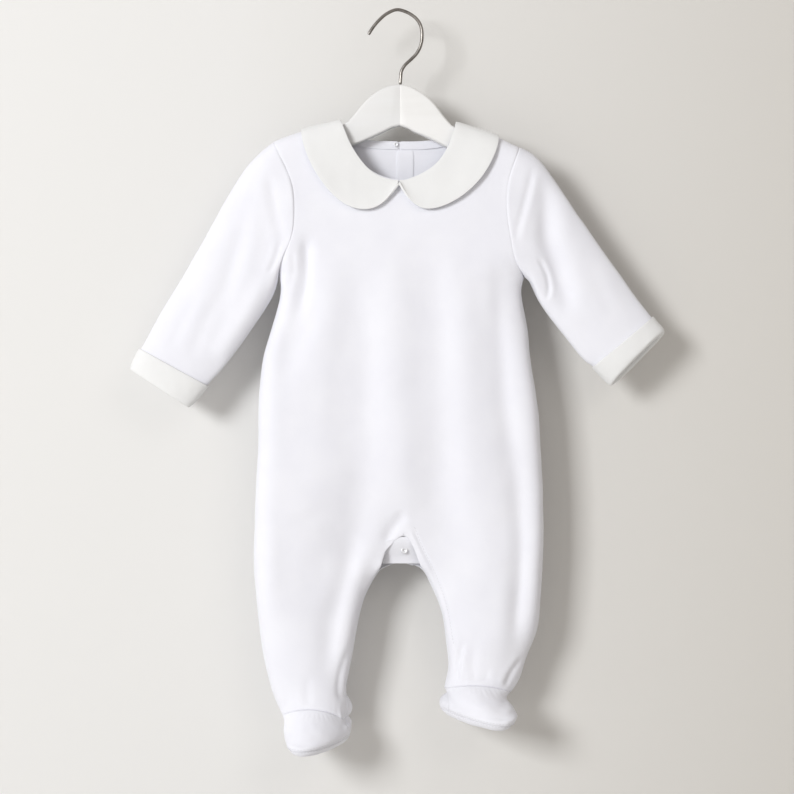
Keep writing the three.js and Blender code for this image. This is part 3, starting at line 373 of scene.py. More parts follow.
@dataclass(frozen=True)
class BackdropFinish:
    """Warm white paint with painted shade, darker towards the right between the X of start and end as the
    light from the left falls off, and clear from behind.
    """

    name: str = "backdrop_paint"
    light: tuple[float, float, float] = (0.785, 0.782, 0.772)
    # dark is painted shade: the backdrop's falloff away from the light on the left
    dark: tuple[float, float, float] = (0.665, 0.648, 0.615)
    start: float = -0.16
    end: float = 0.42

    def material(self) -> bpy.types.Material:
        """Builds the material.

        Returns:
            The finished material.
        """
        nodes = Nodes(self.name)
        places = nodes.add("TexCoord").outputs["Object"]
        across = nodes.add("SeparateXYZ", Vector=places).outputs["X"]
        # painted shade: the paint darkens across X from start to end
        share = nodes.spread(across, self.start, self.end, 0.0, 1.0)
        colour = nodes.mix(share, (*self.light, 1.0), (*self.dark, 1.0))
        paint = nodes.add("BsdfDiffuse", Color=colour)
        clear = nodes.add("BsdfTransparent")
        behind = nodes.add("NewGeometry").outputs["Backfacing"]
        shader = nodes.add("MixShader", Fac=behind)
        nodes.feed(shader.inputs[1], paint.outputs[0])
        nodes.feed(shader.inputs[2], clear.outputs[0])
        return nodes.finish(shader.outputs[0])


# Shapes


def curve_through(points: np.ndarray, count: int) -> np.ndarray:
    """A smooth line through points.

    Args:
        points: one row a point, in any number of columns.
        count: how many points the line gets.

    Returns:
        The line's points.
    """
    ends = np.vstack([2 * points[0] - points[1], points, 2 * points[-1] - points[-2]])
    stations = np.linspace(0, len(points) - 1 - 1e-9, count)
    index = stations.astype(int)
    t = (stations - index)[:, None]
    a, b, c, d = (ends[index + k] for k in range(4))
    return 0.5 * (2 * b + (c - a) * t + (2 * a - 5 * b + 4 * c - d) * t**2 + (3 * b - a - 3 * c + d) * t**3)


def smooth(t: np.ndarray) -> np.ndarray:
    """Eases from 0 to 1."""
    t = np.clip(t, 0, 1)
    return t * t * (3 - 2 * t)


def turned_up(places: np.ndarray) -> np.ndarray:
    """How far a sole's edge rises at each place: round the toes, and dying out towards the heel."""
    return SOLE_TURNED_UP * smooth((TOES_END - places[:, 1]) / TOES_FADE)


@dataclass(frozen=True)
class Fold:
    """A trough of the hanging cloth, or a ridge if its depth is negative, as seen from the front.

    The path's columns are X, Z and strength; path, width and depth are in millimetres. Beside the trough
    the cloth stands up by the ridge share of its depth. lean gives the ridge's side for a path drawn down
    the front view: 1 right, -1 left, 0 half of it on both. At each end the fold fades over the ends share
    of its path.
    """

    path: tuple[tuple[float, float, float], ...]
    width: float
    depth: float
    ridge: float = 0.35
    lean: float = 1.0
    side: Side = Side.FRONT
    ends: float = 0.22

    def height(self, places: np.ndarray, normals: np.ndarray) -> np.ndarray:
        """How far the cloth moves out at each point.

        Args:
            places: points in millimetres.
            normals: outward directions there.

        Returns:
            Distances in millimetres, negative inwards.
        """
        line = curve_through(np.array(self.path, float), LINE_STEPS)
        flat = places[:, [0, 2]]
        best = np.full(len(flat), np.inf)
        offset = np.zeros(len(flat))
        along = np.zeros(len(flat))
        strength = np.zeros(len(flat))
        for k in range(LINE_STEPS - 1):
            start, run = line[k, :2], line[k + 1, :2] - line[k, :2]
            t = np.clip(((flat - start) @ run) / (run @ run), 0, 1)
            away = flat - start - t[:, None] * run
            distance = np.hypot(away[:, 0], away[:, 1])
            nearer = distance < best
            best[nearer] = distance[nearer]
            offset[nearer] = (np.sign(run[0] * away[:, 1] - run[1] * away[:, 0]) * distance)[nearer]
            along[nearer] = ((k + t) / (LINE_STEPS - 1))[nearer]
            strength[nearer] = (line[k, 2] + t * (line[k + 1, 2] - line[k, 2]))[nearer]
        fade = smooth(along / self.ends) * smooth((1 - along) / self.ends) * strength
        trough = -np.exp(-((offset / self.width) ** 2))
        for turn in (1.0, -1.0):
            share = self.ridge * (1.0 if self.lean == turn else 0.5 if self.lean == 0 else 0.0)
            beside = offset - turn * RIDGE_AWAY * self.width
            trough += share * np.exp(-((beside / (RIDGE_WIDTH * self.width)) ** 2))
        if self.side is Side.BOTH:
            facing = 1.0
        else:
            facing = smooth(SIDEWAYS_SHARE + FACING_GAIN * normals[:, 1] * self.side.value)
        return self.depth * trough * fade * facing


@dataclass(frozen=True)
class Swell:
    """A soft bulge that shifts all cloth round one place, in millimetres."""

    centre: tuple[float, float, float]
    radius: float
    push: tuple[float, float, float]

    def shift(self, places: np.ndarray) -> np.ndarray:
        """How far each point moves, in millimetres."""
        away = np.sum((places - self.centre) ** 2, axis=1)
        return np.exp(-away / self.radius**2)[:, None] * np.array(self.push)


LEFT_FOOT_SWELLS = (
    Swell((-104.0, -12.0, -680.0), 11.0, (-4.0, 0.0, 0.0)),
    Swell((-50.0, 15.0, -661.0), 12.0, (16.0, 0.0, 0.0)),
    Swell((-42.0, 8.0, -684.0), 8.0, (-7.0, 0.0, 4.0)),
)


@dataclass(frozen=True)
class Gathers:
    """Small even puckers round an ankle, dying out above and below its seam.

    centre is the ankle's X and Y and height the seam's Z; all lengths are in millimetres.
    """

    centre: tuple[float, float]
    height: float
    count: int
    depth: float
    reach: float

    def rise(self, places: np.ndarray) -> np.ndarray:
        """How far the cloth moves out at each point.

        Args:
            places: points in millimetres.

        Returns:
            Distances in millimetres.
        """
        angle = np.arctan2(places[:, 1] - self.centre[1], places[:, 0] - self.centre[0])
        away = np.abs(places[:, 2] - self.height)
        return self.depth * np.cos(self.count * angle) * np.exp(-away / self.reach)


def smooth_patches(bm: bmesh.types.BMesh, crease: float) -> list[list[bmesh.types.BMFace]]:
    """Groups of faces that join without a sharp edge.

    Args:
        bm: the shape.
        crease: degrees from which an edge is sharp.

    Returns:
        The groups.
    """
    left = set(bm.faces)
    patches = []
    while left:
        patch = []
        heap = [left.pop()]
        while heap:
            face = heap.pop()
            patch.append(face)
            for edge in face.edges:
                if edge.calc_face_angle(0.0) > math.radians(crease):
                    continue
                for other in edge.link_faces:
                    if other in left:
                        left.remove(other)
                        heap.append(other)
        patches.append(patch)
    return patches


def outer_layer(node: str, inside: tuple[float, float, float], crease: float) -> bmesh.types.BMesh:
    """The side of a CAD cloth wall that faces away from a point, as quads.

    Args:
        node: name of the CAD node.
        inside: the point, in millimetres.
        crease: degrees from which an edge of the wall is its rim.

    Returns:
        The open surface.
    """
    bm = bmesh.new()
    bm.from_mesh(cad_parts[node].data)
    bmesh.ops.remove_doubles(bm, verts=bm.verts, dist=WELD)
    bm.normal_update()
    middle = Vector(inside) * MM
    layer = max(
        smooth_patches(bm, crease),
        key=lambda patch: sum(f.calc_area() * f.normal.dot((f.calc_center_median() - middle).normalized())
                              for f in patch),
    )
    corners = {vert for face in layer for vert in face.verts}
    spare = [face for face in bm.faces if not all(vert in corners for vert in face.verts)]
    bmesh.ops.delete(bm, geom=spare, context="FACES")
    join_quads(bm)
    bm.normal_update()
    return bm


def boundary_line(bm: bmesh.types.BMesh) -> list[Vector]:
    """The open edge of a surface, walked round once.

    Args:
        bm: the surface, with one open edge.

    Returns:
        Its points in order.
    """
    start = next(vert for vert in bm.verts if vert.is_boundary)
    walked = [start]
    vert, last = start, None
    while True:
        edges = [edge for edge in vert.link_edges if edge.is_boundary and edge is not last]
        last = edges[0]
        vert = last.other_vert(vert)
        if vert is start:
            return [corner.co.copy() for corner in walked]
        walked.append(vert)


def join_quads(bm: bmesh.types.BMesh) -> None:
    """Turns pairs of triangles back into quads."""
    bmesh.ops.join_triangles(bm, faces=bm.faces, angle_face_threshold=math.pi, angle_shape_threshold=math.pi)


def new_object(name: str, bm: bmesh.types.BMesh) -> bpy.types.Object:
    """Makes a mesh object at the origin and frees the bmesh.

    Args:
        name: name of the piece.
        bm: its shape.

    Returns:
        The object.
    """
    mesh = bpy.data.meshes.new(name)
    bm.to_mesh(mesh)
    bm.free()
    piece = bpy.data.objects.new(name, mesh)
    bpy.context.scene.collection.objects.link(piece)
    mesh.shade_smooth()
    return piece


def apply_modifiers(piece: bpy.types.Object) -> None:
    """Turns a piece's modifiers into its mesh.

    Args:
        piece: the piece.
    """
    shown = piece.evaluated_get(bpy.context.evaluated_depsgraph_get())
    mesh = bpy.data.meshes.new_from_object(shown)
    piece.modifiers.clear()
    piece.data = mesh
    mesh.shade_smooth()


def refine(piece: bpy.types.Object, levels: int) -> None:
    """Subdivides a piece smoothly, its corners kept.

    Args:
        piece: the piece.
        levels: how many times.
    """
    modifier = piece.modifiers.new("refine", "SUBSURF")
    modifier.levels = levels
    modifier.render_levels = levels
    modifier.boundary_smooth = "PRESERVE_CORNERS"
    apply_modifiers(piece)


def points_of(piece: bpy.types.Object) -> tuple[np.ndarray, np.ndarray]:
    """Reads a piece's points in millimetres, and the outward directions there.

    Args:
        piece: the piece.

    Returns:
        The points and the directions, one row a point.
    """
    count = len(piece.data.vertices)
    places = np.empty(count * 3)
    normals = np.empty(count * 3)
    piece.data.vertices.foreach_get("co", places)
    piece.data.vertices.foreach_get("normal", normals)
    return places.reshape(-1, 3) / MM, normals.reshape(-1, 3)


def move_points(piece: bpy.types.Object, places: np.ndarray) -> None:
    """Puts a piece's points at new places, in millimetres."""
    piece.data.vertices.foreach_set("co", (places * MM).ravel())
    piece.data.update()


def waves(places: np.ndarray, height: float, size: float) -> np.ndarray:
    """Slight unevenness of cloth.

    Args:
        places: points in millimetres.
        height: how strong it is, in millimetres.
        size: how far apart its swells are, in millimetres.

    Returns:
        One distance a point, in millimetres.
    """
    return height * np.array([noise.fractal(Vector(place) / size, 0.8, 2.2, 2) for place in places])


def dress(
    piece: bpy.types.Object, material: bpy.types.Material, nodes: tuple[str, ...] = (),
) -> None:
    """Gives a piece its material and ties it to the frame.

    Args:
        piece: the finished piece.
        material: its material.
        nodes: CAD nodes that it stands for.
    """
    piece.data.materials.clear()
    piece.data.materials.append(material)
    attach(piece, BODY)
    if nodes:
        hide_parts(*nodes)
    log.info("%s: %d faces", piece.name, len(piece.data.polygons))


@dataclass
class ClothPiece:
    """A piece cut from cloth: a fine thin shell on the form of its CAD solid.

    Lengths are in millimetres but for the flat cut, which is in metres and is not used. inside is a point
    that the outer face looks away from, and crease the angle in degrees at which the solid's rim starts. At
    its edge the cloth is rolled in over roll_reach, and its last points move outwards by meet to close the
    seam. ripple and ripple_size are the height and spacing of slight unevenness. A strip may lean forward at
    its top, be set back, and spread at its low edge. A foot's pieces rise beside the sole seam; sole_edge
    says how far in that reaches and the height that it starts below.
    """

    node: str
    finish: bpy.types.Material
    flat: tuple[float, float]
    inside: tuple[float, float, float]
    area: float | None = None
    folds: tuple[Fold, ...] = ()
    gathers: tuple[Gathers, ...] = ()
    levels: int = 3
    thickness: float = 0.9
    rolled: float = 0.28
    roll_reach: float = 0.9
    meet: float = 0.8
    ripple: float = 0.25
    ripple_size: float = 38.0
    slot: Slot = Slot.JERSEY
    rim_only: bool = False
    rounded: float = 0.0
    crease: float = 40.0
    lean_forward: float = 0.0
    set_back: float = 0.0
    spread_low: float = 0.0
    sole_edge: tuple[float, float] | None = None

    def build(self) -> bpy.types.Object:
        """Builds and dresses the piece.

        Returns:
            The finished piece.
        """
        piece = new_object(f"cloth_{self.node}", outer_layer(self.node, self.inside, self.crease))
        refine(piece, self.levels)
        self.shape(piece)
        self.thicken(piece)
        dress(piece, self.finish, (self.node,))
        return piece

    def shape(self, piece: bpy.types.Object) -> None:
        """Lays in the folds, rolls the edges in and closes the seams.

        Args:
            piece: the smooth piece.
        """
        places, normals = points_of(piece)
        rise = waves(places, self.ripple, self.ripple_size)
        for fold in self.folds:
            rise += fold.height(places, normals)
        for row in self.gathers:
            rise += row.rise(places)
        distance, outward = self.edge_distance(piece, places)
        if self.sole_edge:
            reach, below = self.sole_edge
            near = (1 - smooth(distance / reach)) * smooth((below - places[:, 2]) / SOLE_FADE)
            places[:, 2] += turned_up(places) * near
        rise *= smooth(distance / CALM_EDGE) * (1 - SEAM_SHARE) + SEAM_SHARE
        rise -= self.rolled * np.exp(-((distance / self.roll_reach) ** 2))
        places += normals * rise[:, None] + outward * self.meet
        for swell in LEFT_FOOT_SWELLS:
            places += swell.shift(places)
        places[:, 1] += self.set_back
        if self.lean_forward:
            low, high = places[:, 2].min(), places[:, 2].max()
            upper = smooth((places[:, 2] - low) / (high - low))
            places[:, 1] -= self.lean_forward * upper
            places[:, 0] += self.spread_low * (1 - upper) * (places[:, 0] - places[:, 0].mean())
        move_points(piece, places)

    def edge_distance(self, piece: bpy.types.Object, places: np.ndarray) -> tuple[np.ndarray, np.ndarray]:
        """How far each point is from the piece's edge, and the way out of the piece at its edge points.

        Args:
            piece: the piece.
            places: its points, in millimetres.

        Returns:
            Distances in millimetres, and one direction a point, zero away from the edge.
        """
        bm = bmesh.new()
        bm.from_mesh(piece.data)
        bm.verts.ensure_lookup_table()
        edge = [v for v in bm.verts if v.is_boundary]
        outward = np.zeros_like(places)
        tree = KDTree(len(edge))
        for k, vert in enumerate(edge):
            tree.insert(vert.co, k)
            inner = [e.other_vert(vert).co for e in vert.link_edges if not e.is_boundary]
            if inner:
                way = vert.co - sum(inner, Vector()) / len(inner)
                outward[vert.index] = way.normalized()
        tree.balance()
        distance = np.array([tree.find(v.co)[2] for v in bm.verts]) / MM
        bm.free()
        return distance, outward

    def thicken(self, piece: bpy.types.Object) -> None:
        """Gives the cloth its thickness on the inside, with a rounded edge where it is thick.

        Args:
            piece: the shaped piece.
        """
        shell = piece.modifiers.new("cloth", "SOLIDIFY")
        shell.thickness = self.thickness * MM
        shell.offset = -1.0
        shell.use_rim = True
        shell.use_rim_only = self.rim_only
        apply_modifiers(piece)
        if self.rounded:
            bevel = piece.modifiers.new("edge", "BEVEL")
            bevel.width = self.rounded * MM
            bevel.segments = 3
            bevel.limit_method = "ANGLE"
            bevel.angle_limit = math.radians(EDGE_ANGLE)
            apply_modifiers(piece)


# The garment


@dataclass
class Body:
    """Front and the two backs, with the folds of the hanging cloth."""

    finish: bpy.types.Material
    inside: tuple[float, float, float] = (0.0, 0.0, -400.0)

    def front_folds(self) -> tuple[Fold, ...]:
        """Folds of the front: soft upright ones, and short ones at the underarms, crotch and ankles.

        Returns:
            The folds, each from its top down.
        """
        return (
            Fold(((-78, -196, 0.5), (-79, -246, 1.0), (-83, -284, 1.0), (-94, -322, 0.9), (-107, -369, 0.5)),
                 12, 3.0, ridge=0.15, lean=-1, ends=0.3),
            Fold(((-86, -208, 0.5), (-85, -226, 0.9), (-86, -246, 1.0), (-90, -274, 1.0), (-96, -300, 0.6)),
                 6, 4.0, ridge=0.1, ends=0.3),
            Fold(((-99, -226, 0.8), (-97, -246, 1.0), (-103, -268, 0.7)), 3.0, 0.7, lean=-1),
            Fold(((-28, -212, 0.3), (-28, -250, 0.6), (-30, -290, 0.9), (-28, -330, 1.0), (-29, -369, 1.0),
                  (-28, -417, 1.0), (-33, -464, 1.0), (-41, -512, 0.8), (-50, -540, 0.3)),
                 18, 4.0, ridge=0.1),
            Fold(((-34, -464, 0.2), (-42, -512, 0.8), (-53, -559, 1.0), (-60, -597, 1.0), (-66, -640, 0.4)),
                 11, 2.6, ridge=0.1),
            Fold(((35, -208, 0.5), (38, -246, 0.9), (40, -284, 0.9), (40, -322, 1.0), (41, -369, 0.9),
                  (43, -417, 1.0), (47, -464, 1.0), (57, -512, 0.6), (66, -550, 0.2)), 16, 3.8, ridge=0.1),
            Fold(((88, -208, 0.4), (95, -246, 0.8), (97, -284, 0.8), (100, -322, 0.8), (103, -369, 0.8),
                  (110, -417, 0.9), (116, -464, 1.1), (119, -512, 1.5), (117, -559, 1.8), (114, -600, 1.7),
                  (106, -630, 0.8)), 10.5, 3.6, ridge=0.1),
            Fold(((-109, -290, 0.4), (-114, -322, 0.8), (-119, -369, 1.0), (-122, -417, 1.0),
                  (-124, -464, 1.0), (-123, -512, 1.0), (-119, -559, 1.0), (-113, -600, 0.7)),
                 14, -4.6, ridge=0.0),
            Fold(((112, -284, 0.6), (120, -322, 0.9), (126, -369, 1.0), (130, -417, 1.0), (132, -464, 1.0),
                  (130, -512, 1.0), (126, -559, 1.0), (118, -597, 0.8), (109, -625, 0.5)),
                 9, -3.0, ridge=0.0),
            Fold(((-28, -506, 0.4), (-35, -530, 0.9), (-43, -559, 1.0), (-50, -597, 1.0), (-55, -635, 0.6)),
                 8, -2.4, ridge=0.0),
            Fold(((9, -473, 0.5), (3, -482, 1.0), (-5, -493, 1.0), (-14, -508, 0.6)), 5.4, 1.9, ridge=0.0),
            Fold(((15, -488, 1.0), (24, -509, 1.0), (37, -536, 1.0), (47, -566, 1.0), (53, -600, 0.5)),
                 1.7, 0.6, ridge=0.8, lean=-1, ends=0.12),
            Fold(((-42, -592, 0.6), (-52, -624, 1.0), (-54, -645, 1.0), (-49, -656, 0.8)), 3.4, 1.5),
            Fold(((-83, -628, 0.6), (-84, -645, 1.0), (-82, -660, 0.8)), 4, 0.7, lean=0),
            Fold(((64, -592, 0.5), (58, -618, 1.0), (56, -637, 0.9)), 2.6, 1.3),
            Fold(((74, -600, 0.4), (72, -618, 1.0), (74, -638, 0.8)), 3.4, 0.6, lean=-1),
            Fold(((122, -610, 0.7), (108, -628, 1.0), (101, -640, 0.8)), 3.0, 1.4, lean=-1),
            Fold(((58, -634, 0.6), (70, -636, 1.0), (84, -634, 1.0), (93, -636, 0.8)),
                 2.2, 0.6, ridge=0.2, lean=-1),
            Fold(((84, -629, 0.6), (96, -631, 1.0), (106, -637, 0.8)), 6.5, -1.3, ridge=0.0),
            Fold(((-66, -470, 0.5), (-84, -482, 1.0), (-104, -486, 0.5)), 7, 0.6, lean=0),
        )

    def back_folds(self) -> tuple[Fold, ...]:
        """Folds of the back, like those of the front.

        Returns:
            The folds, each from its top down.
        """
        back = Side.BACK
        return (
            Fold(((-52, -215, 0.6), (-58, -320, 1.0), (-60, -430, 0.8), (-72, -560, 0.6)),
                 6, 0.9, side=back),
            Fold(((58, -225, 0.6), (64, -320, 1.0), (70, -420, 0.9), (86, -570, 0.6)),
                 6, 1.0, lean=-1, side=back),
            Fold(((-98, -236, 0.9), (-96, -290, 1.0), (-110, -360, 0.4)), 5, 1.3, side=back),
            Fold(((104, -250, 0.9), (106, -290, 1.0), (118, -350, 0.4)), 5, 1.2, lean=-1, side=back),
            Fold(((-20, -400, 0.6), (-26, -470, 1.0), (-42, -545, 0.6)), 6, 0.9, side=back),
            Fold(((30, -380, 0.6), (34, -460, 1.0), (50, -535, 0.6)), 6, 0.9, lean=-1, side=back),
            Fold(((-88, -430, 0.5), (-94, -540, 1.0), (-86, -630, 0.6)), 7, 1.0, side=back),
            Fold(((-60, -600, 0.5), (-64, -635, 1.0), (-62, -660, 0.8)), 3.5, 1.1, side=back),
            Fold(((84, -585, 0.5), (86, -615, 1.0), (82, -638, 0.8)), 3.5, 1.1, lean=-1, side=back),
        )

    def ankle_gathers(self) -> tuple[Gathers, ...]:
        """Small puckers where each leg is sewn to its foot."""
        return (Gathers((-76, -4), -667.0, 26, 0.28, 5.0), Gathers((76, -4), -643.0, 26, 0.28, 5.0))

    def build(self) -> None:
        """Builds the three panels."""
        cuts = {
            "front": ((0.30, 0.60), 0.130, self.front_folds(), True),
            "back_left": ((0.18, 0.58), 0.066, self.back_folds(), False),
            "back_right": ((0.18, 0.56), 0.062, self.back_folds(), False),
        }
        for node, (flat, area, folds, rim_only) in cuts.items():
            ClothPiece(
                node, self.finish, flat, self.inside, area=area, folds=folds, rim_only=rim_only,
                gathers=self.ankle_gathers(), ripple=0.7, ripple_size=44.0,
            ).build()


@dataclass
class Sleeves:
    """Two long sleeves with soft creases at the armholes and the elbows."""

    finishes: dict[str, bpy.types.Material]
    centres: dict[str, tuple[float, float, float]] = field(
        default_factory=lambda: {"left": (-168.0, 0.0, -246.0), "right": (170.0, 0.0, -236.0)}
    )

    def folds(self, side: str) -> tuple[Fold, ...]:
        """Creases of one sleeve.

        Args:
            side: "left" or "right" in the front view.

        Returns:
            The sleeve's folds, front and back.
        """
        if side == "left":
            front = (
                Fold(((-122, -150, 0.7), (-114, -190, 1.0), (-106, -226, 0.6)), 5, 1.1, lean=-1),
                Fold(((-108, -214, 0.6), (-114, -236, 1.0), (-122, -252, 0.8)), 2.6, 0.9, lean=-1),
                Fold(((-140, -176, 0.6), (-150, -226, 1.0), (-170, -290, 0.7)), 7, 0.9),
                Fold(((-168, -262, 0.5), (-182, -300, 1.0), (-196, -332, 0.6)), 6, 0.7, lean=-1),
                Fold(((-190, -270, 0.5), (-205, -300, 1.0), (-216, -325, 0.5)), 5, 0.5),
                Fold(((-120, -244, 0.6), (-136, -280, 1.0), (-156, -310, 1.0), (-173, -335, 0.8)),
                     9, -3.2, ridge=0.0),
            )
            back = (
                Fold(((-130, -170, 0.6), (-142, -230, 1.0), (-160, -290, 0.6)), 8, 1.2, side=Side.BACK),
                Fold(((-112, -190, 0.8), (-116, -230, 1.0), (-124, -262, 0.6)), 5, 1.0, side=Side.BACK),
            )
            return front + back
        front = (
            Fold(((130, -144, 0.7), (124, -172, 1.0), (115, -205, 0.8), (111, -222, 0.4)), 3.2, 1.3),
            Fold(((138, -150, 0.4), (141, -179, 0.8), (142, -212, 1.0), (149, -236, 1.0), (158, -265, 1.0),
                  (169, -300, 0.6)), 9, 3.8, ridge=0.1),
            Fold(((132, -233, 0.7), (139, -244, 1.0), (143, -254, 1.0), (144, -266, 1.0), (141, -276, 0.6)),
                 2.2, 1.6),
            Fold(((180, -240, 0.5), (195, -270, 1.0), (206, -296, 0.5)), 6, 0.4),
        )
        back = (
            Fold(((132, -170, 0.6), (142, -225, 1.0), (158, -285, 0.6)), 8, 1.2, side=Side.BACK),
            Fold(((114, -196, 0.8), (120, -232, 1.0), (130, -262, 0.6)), 5, 1.0, side=Side.BACK),
        )
        return front + back

    def build(self) -> None:
        """Builds both sleeves."""
        for side, centre in self.centres.items():
            ClothPiece(
                f"sleeve_{side}", self.finishes[side], (0.27, 0.23), centre, area=0.040,
                folds=self.folds(side), ripple=0.4, ripple_size=34.0,
            ).build()


@dataclass
class Feet:
    """Uppers, heel pouches gathered at the ankle, and soles.

    ankles are the heights of the ankle seams, and turned those below which the uppers and heels rise with
    the sole's edge.
    """

    finish: bpy.types.Material
    toes: tuple[Fold, ...] = (
        Fold(((100, -652, 0.8), (108, -664, 1.0), (107, -673, 1.0), (96, -676, 0.6)), 8, -3.4, ridge=0.0,
             side=Side.BOTH),
    )
    ankles: dict[str, float] = field(default_factory=lambda: {"left": -666.0, "right": -642.0})
    turned: dict[str, float] = field(default_factory=lambda: {"left": -674.0, "right": -650.0})

    def build(self) -> None:
        """Builds the three pieces of each foot."""
        for side, centre in FOOT_CENTRES.items():
            gathered = (Gathers(centre[:2], self.ankles[side], 34, 0.45, 5.0),)
            eased = (Gathers(centre[:2], self.ankles[side], 26, 0.2, 3.0),)
            above_sole = (12.0, self.turned[side])
            cuts = {
                f"vamp_{side}": ((0.10, 0.06), 0.0042, eased, 0.3, above_sole),
                f"heel_{side}": ((0.10, 0.05), 0.0028, gathered, 0.3, above_sole),
                f"sole_{side}": ((0.062, 0.10), 0.0046, (), 2.0, (7.0, 0.0)),
            }
            for node, (flat, area, puckers, rolled, sole_edge) in cuts.items():
                ClothPiece(
                    node, self.finish, flat, centre, area=area, gathers=puckers, crease=FOOT_CREASE,
                    rolled=rolled, roll_reach=1.3, meet=0.6, ripple=0.5, ripple_size=16.0,
                    folds=self.toes if node == "vamp_right" else (), sole_edge=sole_edge,
                ).build()


@dataclass
class Collar:
    """Flat round collar of two halves, cloth laid double, its edges pressed."""

    finish: bpy.types.Material
    inside: tuple[float, float, float] = (0.0, 0.0, -150.0)

    def build(self) -> None:
        """Builds both halves."""
        for side in ("left", "right"):
            ClothPiece(
                f"collar_{side}", self.finish, (0.10, 0.14), self.inside, area=0.0086, thickness=2.0,
                rolled=0.35, roll_reach=2.2, meet=0.0, ripple=0.35, ripple_size=22.0, slot=Slot.TRIM,
                rounded=0.8,
            ).build()


@dataclass
class Cuffs:
    """Turned-back cuffs: whole bands made fine from their solids, their edges pressed.

    sharp is the angle in degrees from which an edge of the solid is a pressed one.
    """

    finishes: dict[str, bpy.types.Material]
    levels: int = 3
    sharp: float = 40.0
    pressed: float = 0.75
    ripple: float = 0.35
    ripple_size: float = 15.0

    def build(self) -> None:
        """Builds both cuffs."""
        for side, finish in self.finishes.items():
            node = f"cuff_{side}"
            bm = bmesh.new()
            bm.from_mesh(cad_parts[node].data)
            bmesh.ops.remove_doubles(bm, verts=bm.verts, dist=WELD)
            join_quads(bm)
            bm.normal_update()
            pressed = bm.edges.layers.float.new("crease_edge")
            for edge in bm.edges:
                if edge.calc_face_angle(0.0) > math.radians(self.sharp):
                    edge[pressed] = self.pressed
            piece = new_object(f"cloth_{node}", bm)
            refine(piece, self.levels)
            places, normals = points_of(piece)
            move_points(piece, places + normals * waves(places, self.ripple, self.ripple_size)[:, None])
            dress(piece, finish, (node,))


@dataclass
class Trims:
    """Neck bindings, plackets and the facing inside the back opening.

    Each strip's outer face looks away from a point behind the garment or in its middle.
    """

    finish: bpy.types.Material
    behind_neck: tuple[float, float, float] = (0.0, 500.0, -200.0)
    behind_crotch: tuple[float, float, float] = (0.0, 500.0, -512.0)
    middle: tuple[float, float, float] = (0.0, 0.0, -220.0)
    crotch_lean: float = 11.0
    crotch_spread: float = 0.5

    def build(self) -> None:
        """Builds the strips."""
        cuts = {
            "neck_binding_left": ((0.055, 0.012), 0.0004, self.behind_neck, 1.1, 0.0, 0.0),
            "neck_binding_right": ((0.055, 0.012), 0.0004, self.behind_neck, 1.1, 0.0, 0.0),
            "back_placket": ((0.0165, 0.206), None, self.middle, 0.0, 0.0, 0.0),
            "back_facing": ((0.0145, 0.198), None, self.behind_neck, 1.5, 0.0, 0.0),
            "crotch_placket": (
                (0.052, 0.026), None, self.behind_crotch, -3.0, self.crotch_lean, self.crotch_spread,
            ),
        }
        for node, (flat, area, inside, back, lean, spread) in cuts.items():
            ClothPiece(
                node, self.finish, flat, inside, area=area, levels=2, thickness=0.7, rolled=0.15, meet=0.85,
                ripple=0.15, ripple_size=12.0, rounded=0.2, set_back=back, lean_forward=lean,
                spread_low=spread,
            ).build()


